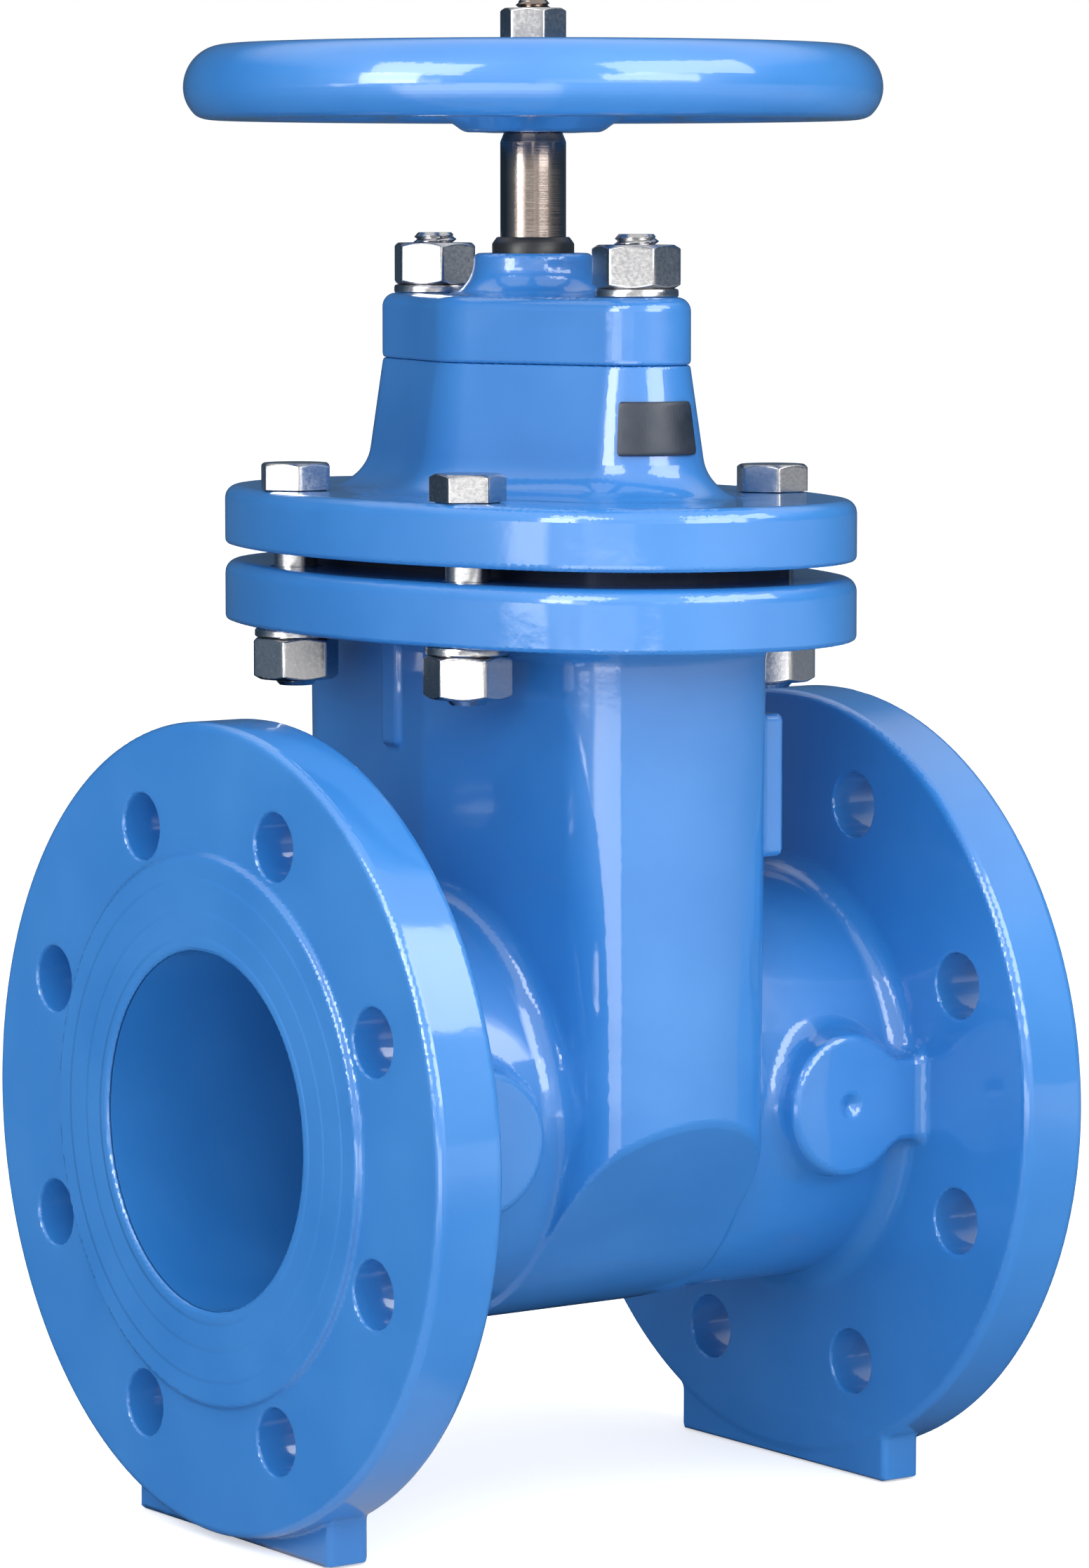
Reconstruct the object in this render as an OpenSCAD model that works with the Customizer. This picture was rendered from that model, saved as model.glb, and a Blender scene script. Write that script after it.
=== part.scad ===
// Non-rising stem gate valve with a resilient wedge, flanged ends and a handwheel.
// The pipe runs along X, the stem stands along +Z, and Z = 0 is the underside of the feet.

/* [Pipe ends] */
// Distance between the two flange faces
face_to_face = 229; // [210:1:280]
// Diameter of the waterway
bore_d = 101.6; // [90:0.2:104]
// Height of the waterway's centre above the feet
centre_h = 117; // [116:0.5:125]
// Outside diameter of the end flanges
flange_d = 230; // [226:1:236]
// Thickness of an end flange, without its raised face
flange_t = 21.5; // [16:0.5:26]
// Diameter of the raised face
raised_d = 156; // [140:1:160]
// Height of the raised face
raised_h = 1.9; // [1:0.1:3]
// Bolt circle of the end flanges
flange_pcd = 180; // [178:1:184]
// Bolt holes in each end flange
flange_holes = 8; // [4:4:8]
// Diameter of a flange bolt hole
flange_hole_d = 19; // [16:0.5:20]
// Outside diameter of the pipe necks
neck_d = 121; // [118:1:126]
// Radius of the fillet between neck and flange
neck_fillet = 7; // [5:1:14]

/* [Feet] */
// Width of each foot across the pipe
foot_w = 100; // [70:1:120]
// Length of each foot along the pipe
foot_l = 14; // [8:1:20]

/* [Body] */
// Length of the chimney's top across the pipe
chimney_w = 166; // [160:1:176]
// Width of the chimney's top along the pipe, at its middle
chimney_l = 78; // [76:1:79]
// Width of the chimney's top along the pipe, at its two ends
chimney_end_l = 69; // [64:1:72]
// Radius of the chimney's rounded end faces
chimney_end_r = 55; // [50:1:90]
// Radius of the chimney's four upright corners
chimney_corner_r = 6.5; // [4:0.5:12]
// Draft of the chimney, taken off each side at the pipe axis
chimney_draft = 1; // [0:0.5:4]
// Height above the pipe axis where the slanted flats under the two ends start
chimney_break = 1.5; // [-2:0.5:6]
// Width of the wedge chamber along the pipe, at the waterway's centre
chamber_l = 48; // [44:1:50]
// Slope of each seat face, in degrees
seat_angle = 1.5; // [0:0.25:2]
// Width of the wedge chamber across the pipe
chamber_w = 116; // [114:1:120]
// Depth of the guide groove in each side of the chamber
groove_depth = 7; // [4:0.5:8]
// Width of the guide groove
groove_w = 13; // [10:0.5:18]
// Diameter of the side bosses' faces
boss_d = 41; // [30:1:46]
// Distance of the side bosses from the stem
boss_x = 64.5; // [60:0.5:66]
// Distance of a boss face from the pipe axis
boss_reach = 68; // [65:0.5:74]
// Height of the web between a boss and the flange beside it
boss_web_h = 24; // [10:1:28]

/* [Bonnet joint] */
// Height of the joint above the pipe axis
joint_h = 155; // [150:0.5:162]
// Length of the oval joint flange across the pipe
oval_w = 228; // [220:1:236]
// Width of the oval joint flange along the pipe
oval_l = 142; // [136:1:150]
// Radius of the oval's two ends
oval_end_r = 60; // [54:1:66]
// Thickness of the body's joint flange
body_flange_t = 18; // [14:0.5:24]
// Thickness of the bonnet's flange
bonnet_flange_t = 17.5; // [14:0.5:24]
// Thickness of the gasket
gasket_t = 4.5; // [2:0.5:5]
// Rounding of the joint flanges' edges
oval_round = 4; // [1:0.5:6]
// Half the distance between the joint bolts along the pipe
bolt_x = 53.5; // [52:0.5:54.5]
// Half the distance between the joint bolts across the pipe
bolt_y = 43.7; // [40:0.1:48]
// Diameter of the joint bolts and gland studs
bolt_d = 12.7; // [12:0.1:14]

/* [Bonnet] */
// Height of the bell above the bonnet flange
bell_h = 37.5; // [34:0.5:46]
// How much wider the bell is at its root than at the gland plate's edge
bell_root_grow = 5.5; // [3:0.5:6]
// How far the bell's top stands back from the gland plate's edge
bell_step = 0.2; // [0:0.1:1.5]
// Thickness of the bell's roof over the wedge chamber
roof_t = 17; // [14:0.5:18]
// Distance of each gland stud from the stem
gland_pitch = 50; // [46:0.5:54]
// Radius of the gland plate in the middle
gland_mid_r = 30; // [28:0.5:34]
// Radius of the gland plate round each stud
gland_end_r = 15.5; // [14:0.5:18]
// Thickness of the gland plate
gland_t = 19; // [14:0.5:24]
// Height of the hub on the gland plate
gland_hub_h = 12; // [8:0.5:16]
// Radius of the hub's top
gland_hub_r = 17.3; // [14:0.1:20]

/* [Tag] */
// Angle that the tag covers round the bell's end
tag_sweep = 74; // [40:2:90]
// Angle of the tag's middle from the valve's side, towards the inlet
tag_turn = 15; // [0:1:30]
// Height of the tag
tag_h = 15; // [8:0.5:18]
// Height of the tag's lower edge above the bonnet flange
tag_up = 12.6; // [10:0.2:16]
// Thickness of the tag
tag_t = 1; // [0.8:0.1:2]

/* [Stem and wedge] */
// Outside diameter of the rubber wiper on the gland hub
wiper_d = 23.7; // [22.5:0.1:28]
// Height of the wiper
wiper_h = 4.6; // [3:0.2:8]
// Diameter of the stem above the bonnet
stem_d = 19; // [16:0.5:20]
// Outside diameter of the stem's thread
thread_d = 22; // [18:0.5:24]
// Diameter of the thrust collar
collar_d = 36; // [30:0.5:40]
// Thickness of the thrust collar
collar_t = 6; // [4:0.5:8]
// Side of the square that drives the handwheel
stem_sq = 12; // [10:0.5:13]
// Thickness of each thrust washer
thrust_t = 2; // [1:0.25:3]
// How far the wedge rises from shut to open
travel = 108; // [106:0.5:109]
// Gap round the shut wedge
seat_gap = 0.5; // [0.3:0.1:1]
// Height of the stem nut
stem_nut_h = 15; // [10:1:17]
// Height of the stem nut's underside above the wedge's centre
stem_nut_base = 64; // [62:0.5:66]
// Length of the stem nut across the pipe
stem_nut_w = 38; // [34:1:44]
// Width of the stem nut along the pipe
stem_nut_l = 28; // [26:1:30]

/* [Handwheel] */
// Outside diameter of the handwheel
wheel_d = 201; // [160:1:220]
// Height of the rim
rim_h = 21.5; // [16:0.5:26]
// Width of the rim
rim_w = 20; // [14:0.5:24]
// Height of the rim's underside above the gland hub
rim_lift = 38; // [34:0.5:46]
// Number of spokes
spokes = 5; // [3:1:6]
// Radius of the handwheel's hub
wheel_hub_r = 20.2; // [17:0.1:26]
// Height of the handwheel's hub
wheel_hub_h = 24; // [18:0.5:28]
// How far the hub's underside lies below the rim's
hub_drop = 3.5; // [0:0.5:8]
// Diameter of a spoke
spoke_d = 13; // [10:0.5:15]
// Height of the spokes' middle above the hub's underside
spoke_lift = 11; // [8:0.5:14]
// Angle of the first spoke from the pipe
spoke_turn = 18; // [0:1:72]
// Diameter of the threaded stem end
stem_end_d = 10; // [8:0.5:12]

/* [Hidden] */

epoxy = [0.25, 0.48, 0.78];
zinc = [0.72, 0.72, 0.70];
steel = [0.62, 0.60, 0.58];
rubber = [0.08, 0.08, 0.09];
brass = [0.72, 0.58, 0.30];

fine = 96;
coarse = 32;
thin = 0.02;
eps = 0.1;

// Clearances
running = 0.1;
thread_room = 0.4;
collar_room = 1;
tag_gap = 0.15;
guide_clear = 1;

// Radius of the chimney's round underside, a little proud of the neck
chimney_round = neck_d / 2 + 1;
// How far the bell's layers reach down into the bonnet flange
bell_sink = 2;
// Rubber left round the stem nut's pocket, and over it
pocket_wall = 5;
// How far the wedge's disc stands back from the chamber's sides
wedge_side_gap = 5;
// Height of the wedge's shoulders and tongues above its centre
shoulder_h = 46;
// Depth of the stem's hole under the wedge's centre
stem_hole_low = 47;

// Heights above the feet
joint_z = centre_h + joint_h;
bonnet_z = joint_z + gasket_t;
shelf_z = bonnet_z + bonnet_flange_t;
bell_z = shelf_z + bell_h;
roof_z = bell_z - roof_t;
gland_z = bell_z + gland_t;
hub_z = gland_z + gland_hub_h;
rim_z = hub_z + rim_lift;
wheel_hub_z = rim_z - hub_drop;
wheel_top_z = wheel_hub_z + wheel_hub_h;
collar_z = bell_z - collar_t / 2;
stem_low_z = centre_h + stem_nut_base - 1;

// Fasteners, in half-inch sizes
head_h = 8;
head_af = 19;
nut_h = 12.3;
nut_af = 22.2;
washer_d = 24;
washer_t = 2.4;
bolt_hole_d = bolt_d + 1.3;
bolt_tail = 1.8;
bolt_twist = 12;
stud_depth = 15;
stud_tail = 3;
wheel_washer_d = 20;
wheel_washer_t = 1.5;
wheel_nut_h = 8.4;
wheel_nut_af = 17;
nut_seat_z = wheel_top_z + wheel_washer_t;

joint_bolts = [[-bolt_x, -bolt_y], [bolt_x, -bolt_y], [-bolt_x, bolt_y], [bolt_x, bolt_y]];
gland_studs = [[0, -gland_pitch], [0, gland_pitch]];

// ---------- shapes that repeat ----------

// Points of an oval made of two end arcs and two flatter side arcs that meet them smoothly
function oval_side_r(w, l, r) =
    let (e = w / 2 - r, h = l / 2) (h * h + e * e - r * r) / (2 * (h - r));
function oval_points(w, l, r, grow, n) =
    let (e = w / 2 - r,
         big = oval_side_r(w, l, r),
         c = big - l / 2,
         turn = atan2(e, c))
    concat(
        [for (i = [0:n]) let (a = -turn + 2 * turn * i / n)
            [-c + (big + grow) * cos(a), (big + grow) * sin(a)]],
        [for (i = [1:n]) let (a = turn + (180 - 2 * turn) * i / n)
            [(r + grow) * cos(a), e + (r + grow) * sin(a)]],
        [for (i = [1:n]) let (a = 180 - turn + 2 * turn * i / n)
            [c + (big + grow) * cos(a), (big + grow) * sin(a)]],
        [for (i = [1:n - 1]) let (a = 180 + turn + (180 - 2 * turn) * i / n)
            [(r + grow) * cos(a), -e + (r + grow) * sin(a)]]);

module oval_slice(z, grow, h) {
    translate([0, 0, z])
        linear_extrude(height = h)
            polygon(oval_points(oval_w, oval_l, oval_end_r, grow, 16));
}

// Oval plate with rounded upper and lower edges
module oval_plate(t) {
    hull() {
        oval_slice(oval_round, 0, t - 2 * oval_round);
        for (a = [30, 60, 90]) {
            drop = oval_round * sin(a);
            oval_slice(oval_round - drop, -oval_round * (1 - cos(a)), thin);
            oval_slice(t - oval_round + drop - thin, -oval_round * (1 - cos(a)), thin);
        }
    }
}

// Thin slice of a rounded rectangle
module box_slice(z, l, w, r) {
    for (x = [-1, 1], y = [-1, 1])
        translate([x * (l / 2 - r), y * (w / 2 - r), z])
            cylinder(h = thin, r = r, $fn = coarse, center = true);
}

// Slab of the two-stud shape: a wide middle and a smaller round at each stud
module gland_slab(z, grow, h) {
    translate([0, 0, z])
        cylinder(h = h, r = gland_mid_r + grow, $fn = fine);
    for (y = [-gland_pitch, gland_pitch])
        translate([0, y, z])
            cylinder(h = h, r = gland_end_r + grow, $fn = fine / 2);
}

module hexagon(af, h) {
    cylinder(h = h, d = af / cos(30), $fn = 6);
}

// Hexagon with its corners turned off at the top, or at both ends
module hex_body(af, h, both) {
    corner = af / cos(30) / 2;
    off = corner - af / 2;
    intersection() {
        hexagon(af, h);
        rotate_extrude($fn = fine)
            polygon(both
                ? [[0, 0], [af / 2 - 0.2, 0], [corner + 0.2, (off + 0.4) * tan(30)],
                   [corner + 0.2, h - (off + 0.4) * tan(30)], [af / 2 - 0.2, h], [0, h]]
                : [[0, 0], [corner + 0.2, 0],
                   [corner + 0.2, h - (off + 0.4) * tan(30)], [af / 2 - 0.2, h], [0, h]]);
    }
}

module ring(outer, inner, h) {
    difference() {
        cylinder(h = h, d = outer, $fn = fine);
        translate([0, 0, -1])
            cylinder(h = h + 2, d = inner, $fn = fine);
    }
}

module along_x() {
    translate([0, 0, centre_h])
        rotate([0, 90, 0])
            children();
}

// ---------- body ----------

// One end of the body, from the stem out to its raised face, as a revolved section
module pipe_end() {
    face = face_to_face / 2;
    plate = face - raised_h;
    back = plate - flange_t;
    rim = 2.5;
    f = neck_fillet;
    rotate_extrude($fn = fine)
        polygon(concat(
            [[0, 0], [neck_d / 2, 0]],
            [for (a = [0:15:90]) [neck_d / 2 + f * (1 - cos(a)), back - f + f * sin(a)]],
            [for (a = [0:30:90]) [flange_d / 2 - rim * (1 - sin(a)), back + rim * (1 - cos(a))]],
            [for (a = [0:30:90]) [flange_d / 2 - rim * (1 - cos(a)), plate - rim * (1 - sin(a))]],
            [[raised_d / 2, plate], [raised_d / 2, face], [0, face]]));
}

module foot() {
    plate = face_to_face / 2 - raised_h;
    translate([plate - flange_t, -foot_w / 2, 0])
        cube([foot_l, foot_w, centre_h - neck_d / 2]);
}

// Tapping boss on the side of the neck, with the draft of its mould
module side_boss() {
    root = 12;
    draft = 0.125;
    reach = boss_reach - root;
    dimple = 2.4;
    translate([boss_x, -root, centre_h])
        rotate([90, 0, 0])
            difference() {
                cylinder(h = reach, d1 = boss_d + 2 * reach * draft, d2 = boss_d, $fn = fine);
                translate([0, 0, reach - dimple])
                    cylinder(h = dimple + eps, d1 = 1.5, d2 = 7, $fn = fine);
            }
}

// Web that ties a boss to the flange, level with the boss's face
module boss_web() {
    root = 12;
    start = boss_x + boss_d / 2 - 5;
    back = face_to_face / 2 - raised_h - flange_t;
    translate([start, -boss_reach, centre_h - boss_web_h / 2])
        cube([back + 1 - start, boss_reach - root, boss_web_h]);
}

// Points of an arc
function arc(cx, cy, r, from, to, n) =
    [for (i = [0:n]) let (a = from + (to - from) * i / n) [cx + r * cos(a), cy + r * sin(a)]];

// One quarter of the chimney's outline: a wide arc at the middle of the side, a corner
// and half of an end face, each arc tangent to what it meets
function chimney_quarter(l, w, end_l) =
    let (mid_r = 30,
         mid_x = l / 2 - mid_r,
         cx = end_l / 2 - chimney_corner_r,
         reach = chimney_end_r - chimney_corner_r,
         end_turn = acos(cx / reach),
         end_y = w / 2 - chimney_end_r,
         cy = end_y + reach * sin(end_turn),
         span = norm([cx - mid_x, cy]),
         side_turn = atan2(cy, cx - mid_x) - acos((mid_r - chimney_corner_r) / span))
    concat(arc(mid_x, 0, mid_r, 0, side_turn, 2),
           arc(cx, cy, chimney_corner_r, side_turn, end_turn, 5),
           arc(0, end_y, chimney_end_r, end_turn, 90, 5));

// The whole outline, from its quarter
function all_round(quarter) =
    let (n = len(quarter))
    concat(quarter,
           [for (i = [n - 2:-1:0]) [-quarter[i][0], quarter[i][1]]],
           [for (i = [1:n - 1]) [-quarter[i][0], -quarter[i][1]]],
           [for (i = [n - 2:-1:1]) [quarter[i][0], -quarter[i][1]]]);

module chimney_slab(z, grow_l, grow_w, h) {
    translate([0, 0, z])
        linear_extrude(height = h)
            polygon(all_round(chimney_quarter(chimney_l + 2 * grow_l, chimney_w + 2 * grow_w,
                chimney_end_l + 2 * grow_l)));
}

// Outline across the pipe that the chimney keeps inside: upright, then two slanted flats
// that start at chimney_break and touch the round underside, about the pipe axis
module chimney_limit() {
    start = chimney_w / 2 - chimney_draft;
    touch = acos(chimney_round / norm([start, chimney_break])) - atan2(chimney_break, start);
    touch_y = chimney_round * cos(touch);
    touch_z = -chimney_round * sin(touch);
    side_z = chimney_break + (chimney_break - touch_z) * (chimney_w - start) / (start - touch_y);
    circle(r = chimney_round, $fn = fine);
    polygon([[0, 0], [-touch_y, touch_z], [-chimney_w, side_z], [-chimney_w, joint_h],
             [chimney_w, joint_h], [chimney_w, side_z], [touch_y, touch_z]]);
}

// Chimney that the wedge rises in, with its draft, its slanted flats and its round underside
module chimney() {
    intersection() {
        hull() {
            chimney_slab(joint_z - 4, 0, 0, thin);
            chimney_slab(centre_h, -chimney_draft, -chimney_draft, thin);
            chimney_slab(centre_h - chimney_round - 1, -chimney_draft, -chimney_draft, thin);
        }
        translate([0, 0, centre_h])
            rotate([90, 0, 90])
                linear_extrude(height = 2 * chimney_l, center = true)
                    chimney_limit();
    }
}

// Pad that the mould leaves beside one upright corner
module mould_pad() {
    translate([chimney_end_l / 2 - 10, -chimney_w / 2 + 16, joint_z - body_flange_t - 62.5])
        cube([16, 10, 41]);
}

// Flare from the chimney out to the joint flange, slight beside the bolts and deeper at the ends
module chimney_flare() {
    under = joint_z - body_flange_t;
    for (k = [[10, 3], [5, 8]])
        hull() {
            chimney_slab(under - k[0], 0, 0, thin);
            chimney_slab(under + 1, 2, k[1], thin);
        }
}

// Seat slope as a shift along X at a height above the pipe axis
function seat_shift(h) = h * tan(seat_angle);

// Space for the wedge: a tapered slot, a round pocket under it and two guide grooves
module chamber(gap) {
    top = joint_h + eps;
    pocket_r = bore_d / 2 + 1.5 - gap;
    half_l = chamber_l / 2 - gap;
    translate([0, 0, centre_h]) {
        intersection() {
            rotate([90, 0, 0])
                linear_extrude(height = chamber_w + 40, center = true)
                    polygon([[-half_l - seat_shift(-60), -60], [half_l + seat_shift(-60), -60],
                             [half_l + seat_shift(top), top], [-half_l - seat_shift(top), top]]);
            union() {
                rotate([0, 90, 0])
                    cylinder(h = 2 * chamber_l, r = pocket_r, center = true, $fn = fine);
                children();
            }
        }
    }
}

module body() {
    color(epoxy)
        difference() {
            union() {
                for (s = [0, 1])
                    mirror([s, 0, 0]) {
                        along_x()
                            pipe_end();
                        foot();
                        for (t = [0, 1])
                            mirror([0, t, 0]) {
                                side_boss();
                                boss_web();
                            }
                    }
                chimney();
                mould_pad();
                chimney_flare();
                translate([0, 0, joint_z - body_flange_t])
                    oval_plate(body_flange_t);
            }
            along_x()
                cylinder(h = face_to_face + 2, d = bore_d, center = true, $fn = fine);
            chamber(0) {
                translate([-chamber_l, -chamber_w / 2, 0])
                    cube([2 * chamber_l, chamber_w, joint_h + eps]);
                translate([-groove_w / 2, -chamber_w / 2 - groove_depth, -6])
                    cube([groove_w, chamber_w + 2 * groove_depth, joint_h + 6 + eps]);
            }
            for (s = [0, 1], i = [0:flange_holes - 1])
                mirror([s, 0, 0])
                    along_x()
                        rotate([0, 0, (i + 0.5) * 360 / flange_holes])
                            translate([flange_pcd / 2, 0, face_to_face / 2 - raised_h - flange_t - 1])
                                cylinder(h = flange_t + 2, d = flange_hole_d, $fn = fine);
            for (p = joint_bolts)
                translate([p[0], p[1], joint_z - body_flange_t - 1])
                    cylinder(h = body_flange_t + 2, d = bolt_hole_d, $fn = fine);
        }
}

// ---------- bonnet ----------

chamber_top_l = chamber_l + 2 * seat_shift(joint_h);

module bonnet_gasket() {
    color(rubber)
        translate([0, 0, joint_z])
            difference() {
                chimney_slab(0, 1, 6, gasket_t);
                translate([-chamber_top_l / 2, -chamber_w / 2 - groove_depth, -1])
                    cube([chamber_top_l, chamber_w + 2 * groove_depth, gasket_t + 2]);
                for (p = joint_bolts)
                    translate([p[0], p[1], -1])
                        cylinder(h = gasket_t + 2, d = bolt_hole_d, $fn = fine);
            }
}

// Bell from the bonnet flange up to the gland plate, with a stepped fillet at its root:
// each layer is a height, the outline's growth at the shelf, and its growth at that height
module bell() {
    layers = [[3, 12, 7], [9, 8.4, 4.2], [bell_h, bell_root_grow, -bell_step]];
    for (k = layers)
        hull() {
            gland_slab(shelf_z - bell_sink, k[1], thin);
            gland_slab(shelf_z + k[0] - thin, k[2], thin);
        }
}

// Cone that the bell's -Y end follows, as a radius at a height above the shelf
function bell_end_r(h) =
    gland_end_r + bell_root_grow
        - (bell_root_grow + bell_step) * (h + bell_sink) / (bell_h + bell_sink);

// Room under the bonnet's roof for the raised wedge, drawn in towards the top
module wedge_room() {
    room_l = 2 * gland_mid_r;
    room_w = 2 * gland_pitch;
    hull() {
        box_slice(bonnet_z, chamber_top_l, chamber_w, 20);
        box_slice(roof_z - 8, room_l - 8, room_w - 8, 18);
        box_slice(roof_z, room_l - 14, room_w - 20, 18);
    }
}

module bonnet() {
    color(epoxy)
        difference() {
            union() {
                translate([0, 0, bonnet_z])
                    oval_plate(bonnet_flange_t);
                bell();
            }
            wedge_room();
            translate([0, 0, roof_z - 1])
                cylinder(h = roof_t + 2, d = thread_d + 2 * running + thread_room, $fn = fine);
            translate([0, 0, collar_z - thrust_t])
                cylinder(h = thrust_t + collar_t, d = collar_d + collar_room, $fn = fine);
            for (p = joint_bolts)
                translate([p[0], p[1], bonnet_z - 1])
                    cylinder(h = bonnet_flange_t + 40, d = bolt_hole_d, $fn = fine);
            for (p = gland_studs)
                translate([p[0], p[1], bell_z - stud_depth - 1])
                    cylinder(h = stud_depth + 2, d = bolt_d, $fn = fine);
        }
}

// Bare plate bent round the bell's end, between two heights above the shelf
module tag_plate() {
    low = tag_up;
    high = tag_up + tag_h;
    reach = 60;
    from = 270 - tag_turn - tag_sweep / 2;
    to = 270 - tag_turn + tag_sweep / 2;
    color([0.25, 0.26, 0.29])
        translate([0, -gland_pitch, shelf_z])
            intersection() {
                rotate_extrude($fn = fine)
                    polygon([[bell_end_r(low) + tag_gap, low],
                             [bell_end_r(low) + tag_gap + tag_t, low],
                             [bell_end_r(high) + tag_gap + tag_t, high],
                             [bell_end_r(high) + tag_gap, high]]);
                translate([0, 0, low - 1])
                    linear_extrude(height = tag_h + 2)
                        polygon([[0, 0], [reach * cos(from), reach * sin(from)],
                                 [reach * cos(270 - tag_turn), reach * sin(270 - tag_turn)],
                                 [reach * cos(to), reach * sin(to)]]);
            }
}

module gland_plate() {
    round_top = 4;
    color(epoxy)
        difference() {
            union() {
                translate([0, 0, bell_z])
                    hull() {
                        gland_slab(0, -1, thin);
                        gland_slab(1, 0, gland_t - round_top - 1);
                        for (a = [30, 60, 90])
                            gland_slab(gland_t - round_top * (1 - sin(a)) - thin,
                                -round_top * (1 - cos(a)), thin);
                    }
                translate([0, 0, gland_z - 1])
                    rotate_extrude($fn = fine)
                        polygon(concat([[0, 0], [gland_hub_r + 9, 0], [gland_hub_r + 9, 1]],
                            [for (a = [0:15:90]) [gland_hub_r + 9 - 8 * sin(a), 1 + 8 * (1 - cos(a))]],
                            [[gland_hub_r, gland_hub_h - 1], [gland_hub_r - 2, gland_hub_h + 1],
                             [0, gland_hub_h + 1]]));
            }
            translate([0, 0, bell_z - 1])
                cylinder(h = gland_t + gland_hub_h + 2, d = stem_d + 2 * running, $fn = fine);
            translate([0, 0, bell_z - 1])
                cylinder(h = 1 + thrust_t + collar_t / 2, d = collar_d + collar_room, $fn = fine);
            for (p = gland_studs)
                translate([p[0], p[1], bell_z - 1])
                    cylinder(h = gland_t + 2, d = bolt_hole_d, $fn = fine);
        }
}

module stem_wiper() {
    color(rubber)
        translate([0, 0, hub_z])
            difference() {
                rotate_extrude($fn = fine)
                    polygon([[0, 0], [wiper_d / 2, 0], [wiper_d / 2, wiper_h - 1.8],
                             [wiper_d / 2 - 1.6, wiper_h], [0, wiper_h]]);
                translate([0, 0, -1])
                    cylinder(h = wiper_h + 2, d = stem_d + 2 * running, $fn = fine);
            }
}

// ---------- stem ----------

module lower_thrust_washer() {
    color(brass)
        translate([0, 0, collar_z - thrust_t])
            ring(collar_d, thread_d + 2 * running + thread_room, thrust_t);
}

module upper_thrust_washer() {
    color(brass)
        translate([0, 0, collar_z + collar_t])
            ring(collar_d, stem_d + 2 * running, thrust_t);
}

module stem() {
    square_z = wheel_hub_z + 2;
    color(steel) {
        rotate_extrude($fn = fine)
            polygon([[0, stem_low_z], [thread_d / 2 - 1.5, stem_low_z],
                     [thread_d / 2, stem_low_z + 1.5], [thread_d / 2, collar_z],
                     [collar_d / 2 - 1, collar_z], [collar_d / 2 - 1, collar_z + collar_t],
                     [stem_d / 2, collar_z + collar_t], [stem_d / 2, wheel_hub_z - 2.5],
                     [stem_d / 2 - 1, wheel_hub_z], [stem_d / 2 - 1, square_z],
                     [stem_end_d / 2, square_z], [stem_end_d / 2, nut_seat_z + wheel_nut_h + 1],
                     [stem_end_d / 2 - 1, nut_seat_z + wheel_nut_h + 2.4],
                     [0, nut_seat_z + wheel_nut_h + 2.4]]);
        translate([-stem_sq / 2, -stem_sq / 2, square_z - eps])
            cube([stem_sq, stem_sq, wheel_top_z - 3 - square_z + eps]);
    }
}

module handwheel() {
    rim_r = wheel_d / 2 - rim_w / 2;
    color(epoxy)
        translate([0, 0, wheel_hub_z])
            difference() {
                union() {
                    rotate_extrude($fn = fine)
                        polygon([[0, 0], [wheel_hub_r - 1, 0], [wheel_hub_r + 0.8, 0.6],
                                 [wheel_hub_r + 4.6, 4.5], [wheel_hub_r + 4.6, 9],
                                 [wheel_hub_r - 2, wheel_hub_h - 2],
                                 [wheel_hub_r - 4, wheel_hub_h], [0, wheel_hub_h]]);
                    rotate_extrude($fn = fine)
                        translate([rim_r, hub_drop])
                            rim_section();
                    for (i = [0:spokes - 1])
                        rotate([0, 0, i * 360 / spokes + spoke_turn])
                            spoke(rim_r);
                }
                translate([0, 0, -1])
                    cylinder(h = 3, d = stem_d - 2 + 2 * running, $fn = fine);
                translate([-stem_sq / 2 - running, -stem_sq / 2 - running, 2 - eps])
                    cube([stem_sq + 2 * running, stem_sq + 2 * running, wheel_hub_h]);
            }
}

// Rim section: round outside, with a flatter underside
module rim_section() {
    h = rim_h;
    w = rim_w;
    polygon(concat(
        [for (a = [0:12:180]) [w / 2 * cos(a), h * 0.45 + h * 0.55 * sin(a)]],
        [for (a = [12:12:60]) [-w / 2 * cos(a), h * 0.45 - h * 0.52 * sin(a)]],
        [for (a = [60:-12:12]) [w / 2 * cos(a), h * 0.45 - h * 0.52 * sin(a)]]));
}

module spoke(rim_r) {
    translate([0, 0, spoke_lift])
        rotate([0, 90, 0])
            cylinder(h = rim_r - 2, d = spoke_d, $fn = fine);
}

module handwheel_washer() {
    color(zinc)
        translate([0, 0, wheel_top_z])
            ring(wheel_washer_d, stem_end_d + 0.6, wheel_washer_t);
}

module handwheel_nut() {
    color(zinc)
        translate([0, 0, nut_seat_z])
            difference() {
                hex_body(wheel_nut_af, wheel_nut_h, true);
                translate([0, 0, -1])
                    cylinder(h = wheel_nut_h + 2, d = stem_end_d, $fn = fine);
            }
}

// ---------- wedge ----------

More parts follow.
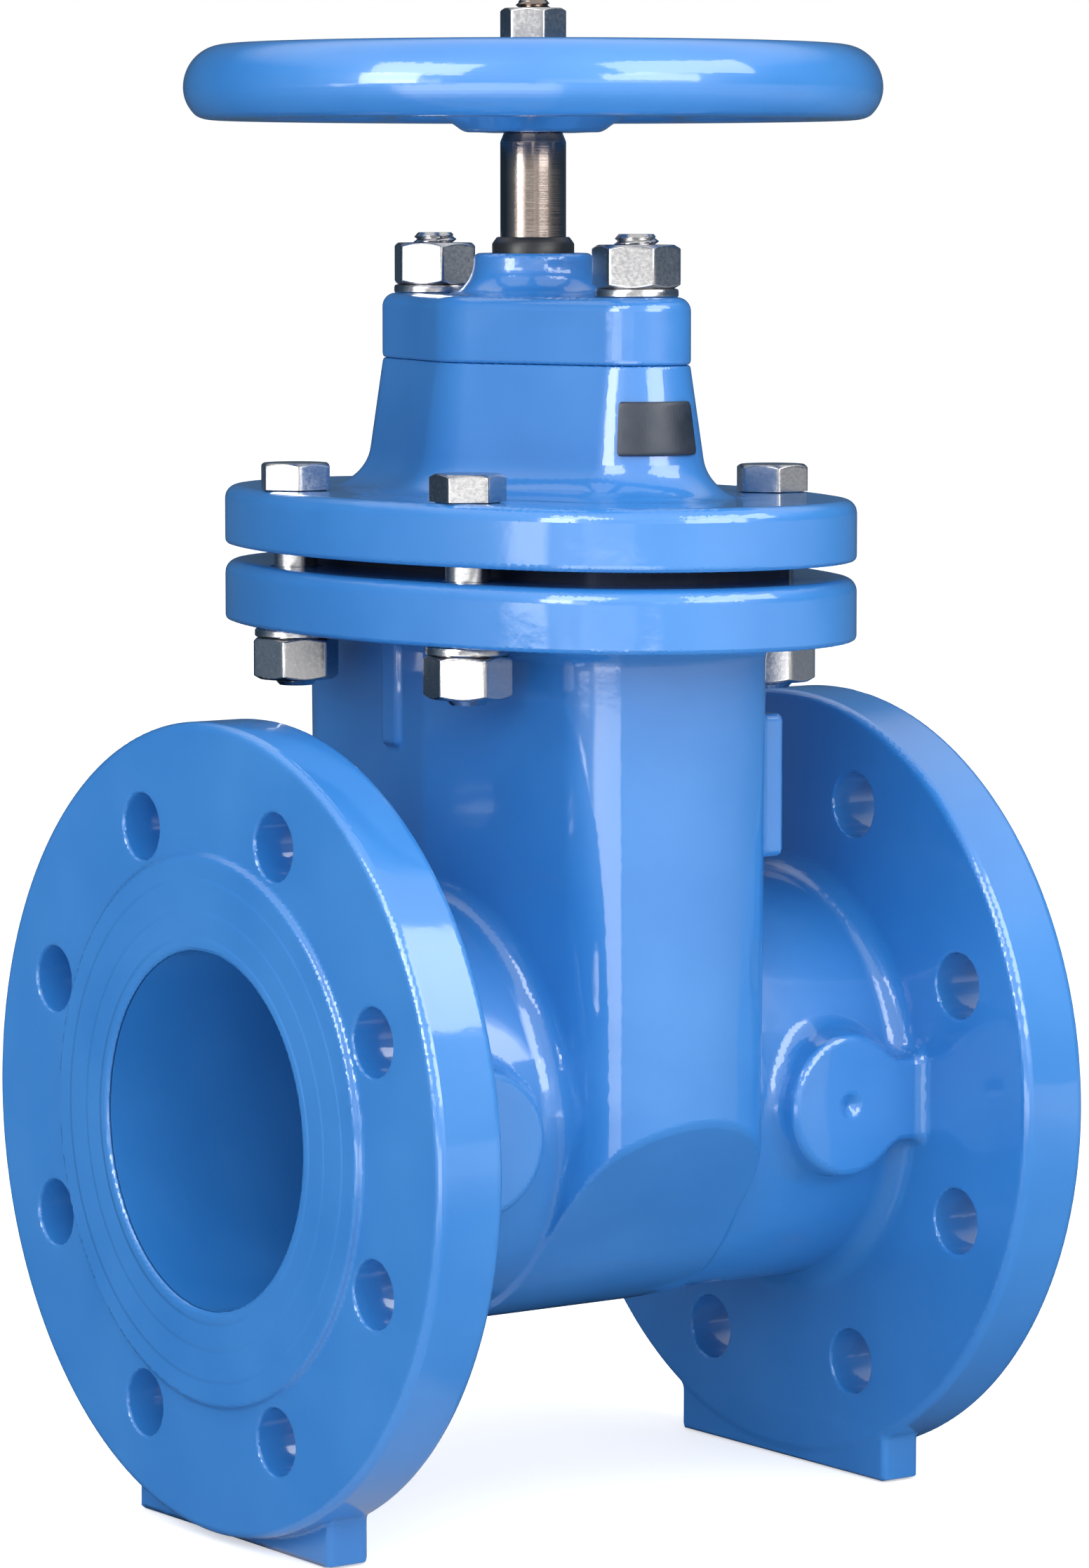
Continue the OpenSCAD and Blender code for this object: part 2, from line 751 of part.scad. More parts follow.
module wedge() {
    w = chamber_w / 2 - wedge_side_gap;
    tongue = chamber_w / 2 + groove_depth - 2 * guide_clear;
    low = 6;
    head_l = stem_nut_l + 2 * pocket_wall;
    head_w = stem_nut_w + 2 * pocket_wall;
    head_low = 30;
    head_top = stem_nut_base + stem_nut_h + pocket_wall;
    color(rubber)
        translate([0, 0, travel])
            difference() {
                chamber(seat_gap) {
                    translate([-chamber_l, -w, low])
                        cube([2 * chamber_l, 2 * w, shoulder_h - low]);
                    translate([-groove_w / 2 + guide_clear, -tongue, low])
                        cube([groove_w - 2 * guide_clear, 2 * tongue, shoulder_h - low]);
                    translate([-head_l / 2, -head_w / 2, head_low])
                        cube([head_l, head_w, head_top - head_low]);
                }
                translate([-stem_nut_l / 2, -stem_nut_w / 2, centre_h + stem_nut_base])
                    cube([stem_nut_l + chamber_l, stem_nut_w, stem_nut_h]);
                translate([0, 0, centre_h - stem_hole_low])
                    cylinder(h = stem_hole_low + joint_h, d = thread_d + 5, $fn = fine);
            }
}

module stem_nut() {
    color(brass)
        translate([0, 0, centre_h + travel + stem_nut_base])
            difference() {
                translate([-stem_nut_l / 2, -stem_nut_w / 2, 0])
                    cube([stem_nut_l, stem_nut_w, stem_nut_h]);
                translate([0, 0, -1])
                    cylinder(h = stem_nut_h + 2, d = thread_d + 2 * running, $fn = fine);
            }
}

// ---------- fasteners ----------

module at(p) {
    translate([p[0], p[1], 0])
        children();
}

module bonnet_bolt(i) {
    low = joint_z - body_flange_t - washer_t - nut_h - bolt_tail;
    color(zinc)
        at(joint_bolts[i]) {
            translate([0, 0, low])
                cylinder(h = shelf_z - low + eps, d = bolt_d, $fn = fine);
            translate([0, 0, shelf_z])
                rotate([0, 0, bolt_twist])
                    hex_body(head_af, head_h, false);
        }
}

module bonnet_washer(i) {
    color(zinc)
        at(joint_bolts[i])
            translate([0, 0, joint_z - body_flange_t - washer_t])
                ring(washer_d, bolt_hole_d, washer_t);
}

module hex_nut() {
    difference() {
        hex_body(nut_af, nut_h, true);
        translate([0, 0, -1])
            cylinder(h = nut_h + 2, d = bolt_d, $fn = fine);
    }
}

module bonnet_nut(i) {
    color(zinc)
        at(joint_bolts[i])
            translate([0, 0, joint_z - body_flange_t - washer_t - nut_h])
                hex_nut();
}

module gland_stud(i) {
    color(zinc)
        at(gland_studs[i])
            translate([0, 0, bell_z - stud_depth])
                cylinder(h = stud_depth + gland_t + washer_t + nut_h + stud_tail, d = bolt_d,
                    $fn = fine);
}

module gland_washer(i) {
    color(zinc)
        at(gland_studs[i])
            translate([0, 0, gland_z])
                ring(washer_d, bolt_hole_d, washer_t);
}

module gland_nut(i) {
    color(zinc)
        at(gland_studs[i])
            translate([0, 0, gland_z + washer_t])
                hex_nut();
}

body();
bonnet();
bonnet_gasket();
gland_plate();
tag_plate();
stem_wiper();
lower_thrust_washer();
upper_thrust_washer();
stem();
handwheel();
handwheel_washer();
handwheel_nut();
wedge();
stem_nut();
bonnet_bolt(0);  // bonnet_bolt_1
bonnet_bolt(1);  // bonnet_bolt_2
bonnet_bolt(2);  // bonnet_bolt_3
bonnet_bolt(3);  // bonnet_bolt_4
bonnet_washer(0);  // bonnet_washer_1
bonnet_washer(1);  // bonnet_washer_2
bonnet_washer(2);  // bonnet_washer_3
bonnet_washer(3);  // bonnet_washer_4
bonnet_nut(0);  // bonnet_nut_1
bonnet_nut(1);  // bonnet_nut_2
bonnet_nut(2);  // bonnet_nut_3
bonnet_nut(3);  // bonnet_nut_4
gland_stud(0);  // gland_stud_1
gland_stud(1);  // gland_stud_2
gland_washer(0);  // gland_washer_1
gland_washer(1);  // gland_washer_2
gland_nut(0);  // gland_nut_1
gland_nut(1);  // gland_nut_2
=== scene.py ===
# %% [markdown]
# # A gate valve on a white floor
#
# A flanged gate valve is mostly three castings under a thick blue epoxy coat: the body, the
# bonnet and the gland plate, with a cast handwheel above. This lesson dresses the packed
# solids of the valve with softer castings, real threads and good finishes. Every place comes
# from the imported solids, so nothing has to be fitted by eye.

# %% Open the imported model
import math

import bmesh
import bpy
import numpy as np
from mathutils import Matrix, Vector


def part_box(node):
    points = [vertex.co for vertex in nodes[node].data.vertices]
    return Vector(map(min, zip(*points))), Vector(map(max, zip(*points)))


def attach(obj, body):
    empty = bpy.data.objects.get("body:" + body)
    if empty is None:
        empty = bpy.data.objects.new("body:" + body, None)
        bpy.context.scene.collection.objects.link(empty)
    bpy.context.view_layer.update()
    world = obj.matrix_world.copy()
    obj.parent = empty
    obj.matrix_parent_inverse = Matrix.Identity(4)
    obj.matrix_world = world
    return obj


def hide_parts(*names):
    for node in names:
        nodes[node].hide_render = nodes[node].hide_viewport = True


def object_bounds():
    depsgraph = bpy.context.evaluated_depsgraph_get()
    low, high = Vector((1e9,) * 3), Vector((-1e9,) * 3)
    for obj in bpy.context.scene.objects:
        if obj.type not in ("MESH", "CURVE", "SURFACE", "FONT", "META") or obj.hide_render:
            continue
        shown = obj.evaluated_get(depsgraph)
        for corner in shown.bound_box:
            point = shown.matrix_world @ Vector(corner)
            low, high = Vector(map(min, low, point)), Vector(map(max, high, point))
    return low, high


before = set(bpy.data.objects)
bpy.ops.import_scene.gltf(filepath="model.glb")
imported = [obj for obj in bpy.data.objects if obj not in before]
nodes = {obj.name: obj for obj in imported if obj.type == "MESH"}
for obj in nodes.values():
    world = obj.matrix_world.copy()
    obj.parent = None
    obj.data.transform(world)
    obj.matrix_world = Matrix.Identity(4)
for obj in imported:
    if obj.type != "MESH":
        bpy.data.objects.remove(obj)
cad_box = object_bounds()
print("solids:", len(nodes), "box:", [round(v, 4) for v in (*cad_box[0], *cad_box[1])])

# %% [markdown]
# ## The camera
#
# The camera stands well back with a long lens, a little above the middle of the valve, and
# looks past the near flange. A long lens keeps the upright lines of the castings upright. It
# is placed by a turn, a tilt and a distance from a point near the valve's middle, because
# those three are easier to think about than coordinates.

# %% Camera
CAMERA_TURN = math.radians(35.56)
CAMERA_TILT = math.radians(5.54)
CAMERA_DISTANCE = 1.774
CAMERA_LENS = 139.5

middle = (cad_box[0] + cad_box[1]) / 2
aim = middle + Vector((0.0078, 0.0053, -0.0087))
look = Vector((math.sin(CAMERA_TURN) * math.cos(CAMERA_TILT),
               math.cos(CAMERA_TURN) * math.cos(CAMERA_TILT), -math.sin(CAMERA_TILT)))
camera = bpy.data.objects.new("camera", bpy.data.cameras.new("camera"))
camera.data.lens = CAMERA_LENS
camera.data.clip_start, camera.data.clip_end = 0.05, 60
camera.location = aim - look * CAMERA_DISTANCE
camera.rotation_euler = look.to_track_quat("-Z", "Y").to_euler()
bpy.context.scene.collection.objects.link(camera)
bpy.context.scene.camera = camera
print("camera at", [round(v, 3) for v in camera.location])

# %% [markdown]
# ## Sizes from the solids
#
# The shapes below are worked out in millimetres, because castings are drawn that way. Each
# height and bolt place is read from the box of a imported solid. What a box can't say, such as
# a fillet's radius or the width of a rib, is written here once.

# %% Sizes in millimetres
MM = 0.001


def span(node):
    """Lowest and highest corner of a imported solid, as two arrays in millimetres."""
    low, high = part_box(node)
    return np.array(low) / MM, np.array(high) / MM


def heights(node):
    """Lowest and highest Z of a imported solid, in millimetres."""
    low, high = span(node)
    return low[2], high[2]


body_low, body_high = span("body")
FACE_X = body_high[0]
FLANGE_R = (body_high[1] - body_low[1]) / 2 + 0.15
AXIS_Z = FLANGE_R + 2.0
JOINT_Z = body_high[2]
BONNET_Z, BELL_Z = heights("bonnet")[0], heights("gland_plate")[0]
HEAD_H = 8.0
SHELF_Z = heights("bonnet_bolt_1")[1] - HEAD_H
JOINT_T = JOINT_Z - heights("bonnet_washer_1")[1]
GLAND_Z, HUB_Z = heights("gland_washer_1")[0], heights("gland_plate")[1]
print("pipe axis", AXIS_Z, "joint", JOINT_Z, "bell", BELL_Z, "gland", GLAND_Z, HUB_Z)


def centre_of(node):
    """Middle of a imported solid's box in X and Y, in millimetres."""
    low, high = span(node)
    return (low[:2] + high[:2]) / 2


joint_bolts = [centre_of(f"bonnet_nut_{i}") for i in range(1, 5)]
gland_studs = [centre_of(f"gland_nut_{i}") for i in range(1, 3)]
print("joint bolts", np.round(joint_bolts, 1).tolist())

# %% [markdown]
# ## Castings as fields
#
# A casting has no sharp corners: every meeting of two forms is a fillet, and every edge is
# rounded by the sand and then by the coating. Bevels on a mesh struggle where several forms
# meet at once. A field doesn't: it is a function that gives, for any point, about how far
# away the surface is, with minus inside. Two fields join with a round fillet, or cut each
# other with a rounded edge, by one short formula each.

# %% Joining and cutting fields


def joined(a, b, radius):
    """Both forms in one, with a fillet: inside the fillet zone the distance is taken from
    a circle that touches both surfaces."""
    return (np.maximum(radius, np.minimum(a, b))
            - np.hypot(np.maximum(radius - a, 0), np.maximum(radius - b, 0)))


def shared(a, b, radius):
    """What both forms share, with the edge rounded by a circle that touches both surfaces."""
    return (np.minimum(-radius, np.maximum(a, b))
            + np.hypot(np.maximum(radius + a, 0), np.maximum(radius + b, 0)))


def less(a, b, radius):
    """The first form with the second cut out of it, with a rounded edge."""
    return shared(a, -b, radius)


def drilled(solid, x, y, places, radius, edge, limit=-np.inf):
    """The form with a round hole along Z at each place, cut no further than a limit."""
    for hole_x, hole_y in places:
        hole = np.hypot(x - hole_x, y - hole_y) - radius
        solid = less(solid, np.maximum(hole, limit), edge)
    return solid


def block(x, y, z, low, high, radius):
    """Distance to a box with rounded edges: the length of what sticks out past each side."""
    low, high = np.array(low, float), np.array(high, float)
    mid, half = (low + high) / 2, (high - low) / 2 - radius
    qx, qy, qz = (np.abs(v - m) - h for v, m, h in zip((x, y, z), mid, half))
    out = np.sqrt(np.maximum(qx, 0) ** 2 + np.maximum(qy, 0) ** 2 + np.maximum(qz, 0) ** 2)
    return out + np.minimum(np.maximum(np.maximum(qx, qy), qz), 0) - radius


# %% [markdown]
# ## From a field to a mesh
#
# The field is measured on a fine grid, but only in the blocks of the grid that the surface
# passes through. Every grid cell that the surface crosses gets one point, placed at the mean
# of the crossings on the cell's edges, and four cells round a crossed edge make a face. The
# points then slide along the field's slope until they lie on the surface. Decimate thins the
# flat areas, and the shading normals are taken from the field again, so the thinned mesh
# still shades like the true curve.

# %% The mesh maker


def slope(field, points):
    """Gradient of a field at some points, by small steps to both sides along each axis."""
    step = 0.04
    out = np.empty_like(points)
    for axis in range(3):
        shift = np.zeros(3)
        shift[axis] = step
        out[:, axis] = (field(points + shift) - field(points - shift)) / (2 * step)
    return out


def settle(field, points, rounds):
    """Newton's step: each point moves along the slope by its value over the slope squared."""
    for _ in range(rounds):
        g = slope(field, points)
        value = field(points)
        move = value / np.maximum((g * g).sum(1), 0.2)
        points = points - g * np.clip(move, -1.5, 1.5)[:, None]
    return points


BLOCK = 8


def measured_grid(field, low, high, step):
    """The field on a grid. Blocks of cells that lie wholly inside or outside only get the
    sign of their centre, and the rest are measured at every point."""
    blocks = np.ceil((high - low) / (step * BLOCK)).astype(int)
    corners = np.stack(np.meshgrid(*[np.arange(n) for n in blocks], indexing="ij"), -1)
    corners = corners.reshape(-1, 3)
    centres = low + (corners * BLOCK + BLOCK / 2) * step
    near = field(centres)
    values = np.empty(tuple(blocks * BLOCK), np.float32)
    view = values.reshape(blocks[0], BLOCK, blocks[1], BLOCK, blocks[2], BLOCK)
    view = view.transpose(0, 2, 4, 1, 3, 5)
    view[...] = np.where(near > 0, 9, -9).reshape(*blocks, 1, 1, 1)
    busy = corners[np.abs(near) < step * BLOCK * 1.35]
    inner = np.stack(np.meshgrid(*[np.arange(BLOCK)] * 3, indexing="ij"), -1)
    for part in np.array_split(busy, max(1, len(busy) // 1500)):
        points = low + (part[:, None, None, None, :] * BLOCK + inner) * step
        found = field(points.reshape(-1, 3)).reshape(-1, BLOCK, BLOCK, BLOCK)
        view[part[:, 0], part[:, 1], part[:, 2]] = found
    return values


def surface_mesh(field, low, high, step):
    """Points and four-cornered faces of a field's zero surface, one point per crossed cell."""
    low, high = np.array(low, float), np.array(high, float)
    values = measured_grid(field, low, high, step)
    inside = values < 0
    nx, ny, nz = np.array(values.shape) - 1
    parts = list(np.ndindex(2, 2, 2))
    cut = [(slice(a, nx + a), slice(b, ny + b), slice(c, nz + c)) for a, b, c in parts]
    count = sum(inside[s].astype(np.int8) for s in cut)
    cells = np.argwhere((count > 0) & (count < 8))
    total = np.zeros((len(cells), 3))
    crossings = np.zeros(len(cells))
    for i, start in enumerate(parts):
        for axis in range(3):
            if start[axis]:
                continue
            end = list(start)
            end[axis] = 1
            a = values[tuple((cells + start).T)].astype(float)
            b = values[tuple((cells + end).T)].astype(float)
            hit = (a < 0) != (b < 0)
            t = np.where(hit, a / np.where(hit, a - b, 1), 0)
            spot = np.tile(np.array(start, float), (len(cells), 1))
            spot[:, axis] = t
            total += spot * hit[:, None]
            crossings += hit
    points = low + (cells + total / crossings[:, None]) * step
    index = np.full((nx, ny, nz), -1, np.int32)
    index[tuple(cells.T)] = np.arange(len(cells))
    faces = []
    for axis in range(3):
        u, v = (axis + 1) % 3, (axis + 2) % 3
        grid = tuple(slice(1, n) if k != axis else slice(0, n)
                     for k, n in enumerate((nx, ny, nz)))
        ahead = tuple(slice(1, n) if k != axis else slice(1, n + 1)
                      for k, n in enumerate((nx, ny, nz)))
        here, there = inside[grid], inside[ahead]
        edges = np.argwhere(here != there)
        rising = here[tuple(edges.T)]
        edges = edges + [0 if k == axis else 1 for k in range(3)]
        quad = []
        for du, dv in ((0, 0), (1, 0), (1, 1), (0, 1)):
            cell = edges.copy()
            cell[:, u] -= du
            cell[:, v] -= dv
            quad.append(index[tuple(cell.T)])
        quad = np.stack(quad, -1)
        faces.append(np.where(rising[:, None], quad, quad[:, ::-1]))
    return points, np.concatenate(faces)


# %% [markdown]
# ## Putting a mesh in the scene
#
# Points and faces go into Blender as whole arrays. Each new piece is named, given its body,
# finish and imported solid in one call, so that no piece is left without them.

# %% Objects from arrays
finishes = {}


def new_mesh(name, points_mm, faces):
    """A Blender mesh from an array of points in millimetres and an array of faces."""
    mesh = bpy.data.meshes.new(name)
    mesh.vertices.add(len(points_mm))
    mesh.vertices.foreach_set("co", (points_mm * MM).astype(np.float32).ravel())
    size = faces.shape[1]
    mesh.loops.add(faces.size)
    mesh.loops.foreach_set("vertex_index", faces.astype(np.int32).ravel())
    mesh.polygons.add(len(faces))
    mesh.polygons.foreach_set("loop_start", np.arange(0, faces.size, size, dtype=np.int32))
    mesh.update(calc_edges=True)
    mesh.validate()
    return mesh


def place(mesh, name, body, finish, node):
    """Link a mesh as a piece of the valve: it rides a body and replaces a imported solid."""
    piece = bpy.data.objects.new(name, mesh)
    bpy.context.scene.collection.objects.link(piece)
    piece.data.materials.append(finishes[finish])
    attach(piece, body)
    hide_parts(node)
    print(f"{name}: {len(mesh.polygons)} faces, on {body}, {finish}")


def cast_mesh(name, field, low, high, step, most):
    """Mesh a field, thin it to at most so many triangles, and shade it by the field."""
    points, faces = surface_mesh(field, low, high, step)
    points = settle(field, points, 2)
    mesh = new_mesh(name, points, faces)
    share = most / (2 * len(faces))
    if share < 1:
        helper = bpy.data.objects.new(name, mesh)
        bpy.context.scene.collection.objects.link(helper)
        thin = helper.modifiers.new("thin", "DECIMATE")
        thin.ratio = share
        graph = bpy.context.evaluated_depsgraph_get()
        mesh = bpy.data.meshes.new_from_object(helper.evaluated_get(graph))
        bpy.data.objects.remove(helper)
    shade_by_field(mesh, field)
    return mesh


def dress(name, node, body, finish, field, margin, steps, most):
    """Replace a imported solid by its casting."""
    low, high = span(node)
    step = steps[0]
    mesh = cast_mesh(name, field, low - margin, high + margin, step, most)
    place(mesh, name, body, finish, node)


def shade_by_field(mesh, field):
    """Corner normals from the field, each read a little way in from the corner, so that a
    wide flat face beside a rounded edge still shades flat."""
    count = len(mesh.vertices)
    points = np.empty(count * 3, np.float32)
    mesh.vertices.foreach_get("co", points)
    points = settle(field, points.reshape(-1, 3).astype(float) / MM, 1)
    mesh.vertices.foreach_set("co", (points * MM).astype(np.float32).ravel())
    mesh.update()
    loops = len(mesh.loops)
    corner = np.empty(loops, np.int32)
    mesh.loops.foreach_get("vertex_index", corner)
    starts = np.empty(len(mesh.polygons), np.int32)
    sizes = np.empty(len(mesh.polygons), np.int32)
    mesh.polygons.foreach_get("loop_start", starts)
    mesh.polygons.foreach_get("loop_total", sizes)
    centre = np.add.reduceat(points[corner], starts) / sizes[:, None]
    centre = np.repeat(centre, sizes, axis=0)
    inward = centre - points[corner]
    reach = np.linalg.norm(inward, axis=1, keepdims=True)
    inward *= np.minimum(1, 0.45 / np.maximum(reach, 1e-6))
    normal = slope(field, points[corner] + inward)
    normal /= np.maximum(np.linalg.norm(normal, axis=1, keepdims=True), 1e-9)
    mesh.polygons.foreach_set("use_smooth", np.ones(len(mesh.polygons), bool))
    mesh.normals_split_custom_set(normal.astype(np.float32).tolist())


# %% [markdown]
# ## Node helpers
#
# A finish is a small tree of nodes, and a few helpers keep the trees short. One makes a node
# with its settings and inputs, and the others make the steps that every finish needs. Each
# noise reads Object coordinates, so a pattern keeps its size in metres on every piece.

# %% Node helpers


def feed(tree, node, **inputs):
    """Set inputs of a node, each named or given as _number, to values or sockets."""
    for key, value in inputs.items():
        socket = node.inputs[int(key[1:]) if key[0] == "_" else key.replace("_", " ")]
        if isinstance(value, bpy.types.NodeSocket):
            tree.links.new(value, socket)
        else:
            socket.default_value = value


def make_node(tree, kind, settings=None, **inputs):
    """A node of a kind, with its settings and inputs."""
    made = tree.nodes.new(kind)
    for key, value in (settings or {}).items():
        setattr(made, key, value)
    feed(tree, made, **inputs)
    return made


def maths(tree, operation, *values):
    """One step of arithmetic on values or sockets."""
    return make_node(tree, "ShaderNodeMath", {"operation": operation},
                     **{f"_{i}": value for i, value in enumerate(values)}).outputs[0]


def new_finish(name):
    """An empty material with its tree, shader and Object coordinates."""
    made = bpy.data.materials.new(name)
    made.use_nodes = True
    tree = made.node_tree
    shader = tree.nodes["Principled BSDF"]
    where = tree.nodes.new("ShaderNodeTexCoord").outputs["Object"]
    finishes[name] = made
    print("finish:", name)
    return tree, shader, where


def noise(tree, where, per_metre, detail=3.0, rough=0.5, stretch=None):
    """Noise with so many waves a metre, stretched along the axes if asked."""
    if stretch:
        where = make_node(tree, "ShaderNodeMapping", Vector=where, Scale=stretch).outputs[0]
    return make_node(tree, "ShaderNodeTexNoise", Vector=where, Scale=per_metre,
                     Detail=detail, Roughness=rough).outputs["Fac"]


def ramp(tree, value, low, high, to_low, to_high):
    """A value carried from one range to another."""
    return make_node(tree, "ShaderNodeMapRange", Value=value, _1=low, _2=high,
                     _3=to_low, _4=to_high).outputs[0]


def mixed(tree, factor, one, other):
    """Two colours mixed by a factor."""
    return make_node(tree, "ShaderNodeMix", {"data_type": "RGBA"}, _0=factor, _6=one,
                     _7=other).outputs[2]


def bumped(tree, shader, height, metres, normal=None):
    """A bump of so many metres from a height between 0 and 1."""
    made = make_node(tree, "ShaderNodeBump", Height=height, Distance=metres, Strength=1.0)
    if normal:
        feed(tree, made, Normal=normal)
    feed(tree, shader, Normal=made.outputs[0])
    return made.outputs[0]


def linear(red, green, blue):
    """A colour given as 0 to 255 on screen, as the linear values that shaders use."""
    channel = np.array([red, green, blue]) / 255
    low = channel / 12.92
    high = ((channel + 0.055) / 1.055) ** 2.4
    return (*np.where(channel <= 0.04045, low, high).tolist(), 1.0)


# %% [markdown]
# ## Finish: blue epoxy
#
# The castings are heated and dipped in epoxy powder, which melts into a thick, glossy skin.
# It follows the rough iron under it softly, so a highlight has slightly wavy edges, and very
# close up it has the dimples of orange peel. The colour is even, with faint clouds where the
# skin is thicker. Bumps of three sizes make the waves and dimples, and a slow noise the clouds.

# %% Epoxy
FACE_STEPS = ((71.0, 0.2), (62.0, 0.15), (54.5, 0.25))
STEP_HALF_W = 0.7


def face_steps(tree, where):
    """Height of the faint round steps on the raised faces, as a function of the distance
    from the pipe axis, and nothing anywhere else."""
    part = make_node(tree, "ShaderNodeSeparateXYZ", Vector=where).outputs
    up = maths(tree, "SUBTRACT", part[2], AXIS_Z * MM)
    flat = make_node(tree, "ShaderNodeCombineXYZ", X=part[1], Y=up).outputs[0]
    radius = make_node(tree, "ShaderNodeVectorMath", {"operation": "LENGTH"}, _0=flat).outputs[1]
    far = maths(tree, "ABSOLUTE", part[0])
    total = 0.0
    for step_r, rise in FACE_STEPS:
        one = make_node(tree, "ShaderNodeMapRange", {"interpolation_type": "SMOOTHSTEP"},
                        Value=radius, _1=(step_r - STEP_HALF_W) * MM,
                        _2=(step_r + STEP_HALF_W) * MM, _3=rise, _4=0.0).outputs[0]
        total = maths(tree, "ADD", total, one)
    mask = ramp(tree, far, (FACE_X - 1.4) * MM, (FACE_X - 0.9) * MM, 0, 1)
    return maths(tree, "MULTIPLY", total, mask)


tree, shader, where = new_finish("epoxy")
clouds = noise(tree, where, 28, 3)
specks = noise(tree, where, 900, 2, 0.6)
colour = mixed(tree, ramp(tree, clouds, 0.3, 0.7, 0, 1), linear(40, 114, 186),
               linear(47, 121, 192))
colour = mixed(tree, ramp(tree, specks, 0.68, 0.8, 0, 0.25), colour, linear(36, 105, 175))
feed(tree, shader, Base_Color=colour, Roughness=ramp(tree, clouds, 0.3, 0.7, 0.38, 0.46),
     Specular_IOR_Level=0.4, Coat_Weight=1.0, Coat_IOR=1.6, Coat_Roughness=0.08)
steps = bumped(tree, shader, face_steps(tree, where), 0.001)
waves = bumped(tree, shader, noise(tree, where, 42, 0), 0.0004, steps)
waves = bumped(tree, shader, noise(tree, where, 190, 1), 0.00003, waves)
feed(tree, shader, Coat_Normal=bumped(tree, shader, noise(tree, where, 620, 2), 0.00001, waves))

# %% [markdown]
# ## Finish: zinc, steel, brass, rubber and the tag
#
# Zinc plating is a pale, slightly blotchy metal with faint rolling marks along the bar the
# nut was cut from. The stem is ground stainless steel: the grinding leaves very fine rings
# round it, which stretch each highlight along its length. Rubber and the tag are dark and
# dull, and brass is only seen inside.

# %% Metals


def patchy(name, dark, light, per_metre, high):
    """A finish whose colour goes from dark to light in patches."""
    tree, shader, where = new_finish(name)
    patches = noise(tree, where, per_metre, 4, 0.6)
    colour = mixed(tree, ramp(tree, patches, 0.35, high, 0, 1), dark, light)
    feed(tree, shader, Base_Color=colour)
    return tree, shader, where, patches


def metal(name, dark, light, rough, ring_marks=0.0, blotch=60):
    """A metal with a blotchy colour, a fine grain and, if asked, fine rings round Z."""
    tree, shader, where, patches = patchy(name, dark, light, blotch, 0.65)
    feed(tree, shader, Metallic=1.0,
         Roughness=ramp(tree, patches, 0.3, 0.7, rough * 0.8, rough * 1.25))
    grain = bumped(tree, shader, noise(tree, where, 900, 2, 0.6), 0.00002)
    if ring_marks:
        rings = noise(tree, where, 20, 2, 0.7, stretch=(1, 1, 220))
        bumped(tree, shader, rings, ring_marks, grain)
    return tree, shader, where


metal("zinc", linear(176, 176, 179), linear(190, 189, 188), 0.22, blotch=900)
metal("stem", linear(128, 117, 110), linear(142, 132, 126), 0.14, ring_marks=0.00002)
metal("brass", linear(186, 146, 84), linear(214, 178, 112), 0.3)

# %% Tag
tree, shader, where = metal("tag", linear(20, 30, 44), linear(30, 40, 54), 0.42, blotch=140)
feed(tree, shader, Metallic=0.0)
brushed = noise(tree, where, 60, 3, 0.7, stretch=(40, 40, 1))
bumped(tree, shader, brushed, 0.00004)

# %% Rubbers


def rubber(name, dark, light, rough):
    """A dark rubber with a faint bloom and a fine grain."""
    tree, shader, where, _ = patchy(name, dark, light, 70, 0.7)
    feed(tree, shader, Roughness=rough)
    bumped(tree, shader, noise(tree, where, 1100, 2, 0.6), 0.00003)


# The gasket gets a dark navy instead of rubber black. This is painted shade: it stands in for
# the blue-coated flange faces in shadow inside the gap.
rubber("gasket", linear(20, 38, 68), linear(28, 48, 80), 0.6)
rubber("rubber", linear(20, 22, 24), linear(38, 38, 38), 0.38)
rubber("cladding", linear(18, 18, 20), linear(34, 34, 36), 0.32)

# %% [markdown]
# ## The body
#
# The body is one iron casting: a pipe with a flange and a foot at each end, and a tall
# chimney across it that the wedge rises into. Four round bosses stand beside the chimney, and
# an oval flange tops it. The chimney's sides lean and its outline is a six-sided shape with
# curved ends, cut back by a slanted flat under each end.

# %% Body sizes
NECK_R, BORE_R = 60.5, 50.8
FLANGE_T, RAISED_H, RAISED_R = 21.5, 1.9, 78
PLATE_X = FACE_X - RAISED_H
BACK_X = PLATE_X - FLANGE_T
HOLES, HOLE_CIRCLE_R, HOLE_R = 8, 90, 9.5
FOOT_H, FOOT_L, FOOT_HALF_W = 14, 14, 50
BOSS_X, BOSS_R, BOSS_REACH, WEB_H = 64.5, 20.5, 68, 24
OVAL_W, OVAL_L, OVAL_END_R = 228, 142, 60
CHIMNEY_W, CHIMNEY_HALF_L, CHIMNEY_END_HALF_L = 166, 39, 33.5
CHIMNEY_END_R, CHIMNEY_CORNER_R, CHIMNEY_LOW_R = 55, 8, 61.5
CHIMNEY_DRAFT, CHIMNEY_BREAK, CHIMNEY_RUN = 1, 1.5, 62
BOSS_MID_Y, BOSS_TAPER = 44, 0.125
BOLT_HOLE_R = 7
CHAMBER_L, CHAMBER_W, GROOVE_W, GROOVE_DEPTH = 48, 116, 13, 7
SEAT_SLOPE = math.tan(math.radians(1.5))

# %% The oval of the joint flanges


def oval(x, y):
    """Distance to an outline of two end arcs and two flatter side arcs that touch them."""
    ax, ay = np.abs(x), np.abs(y)
    end_y = OVAL_W / 2 - OVAL_END_R
    half = OVAL_L / 2
    side_r = (half ** 2 + end_y ** 2 - OVAL_END_R ** 2) / (2 * (half - OVAL_END_R))
    back = side_r - half
    by_end = np.hypot(ax, ay - end_y) - OVAL_END_R
    by_side = np.hypot(ax + back, ay) - side_r
    return np.where(ay * back > (ax + back) * end_y, by_end, by_side)


def oval_plate(x, y, z, low, high):
    """A plate of that outline, with a soft upper edge and a tighter lower one."""
    return shared(shared(oval(x, y), z - high, 4), low - z, 1.6)


# %% Pipe, flanges and feet


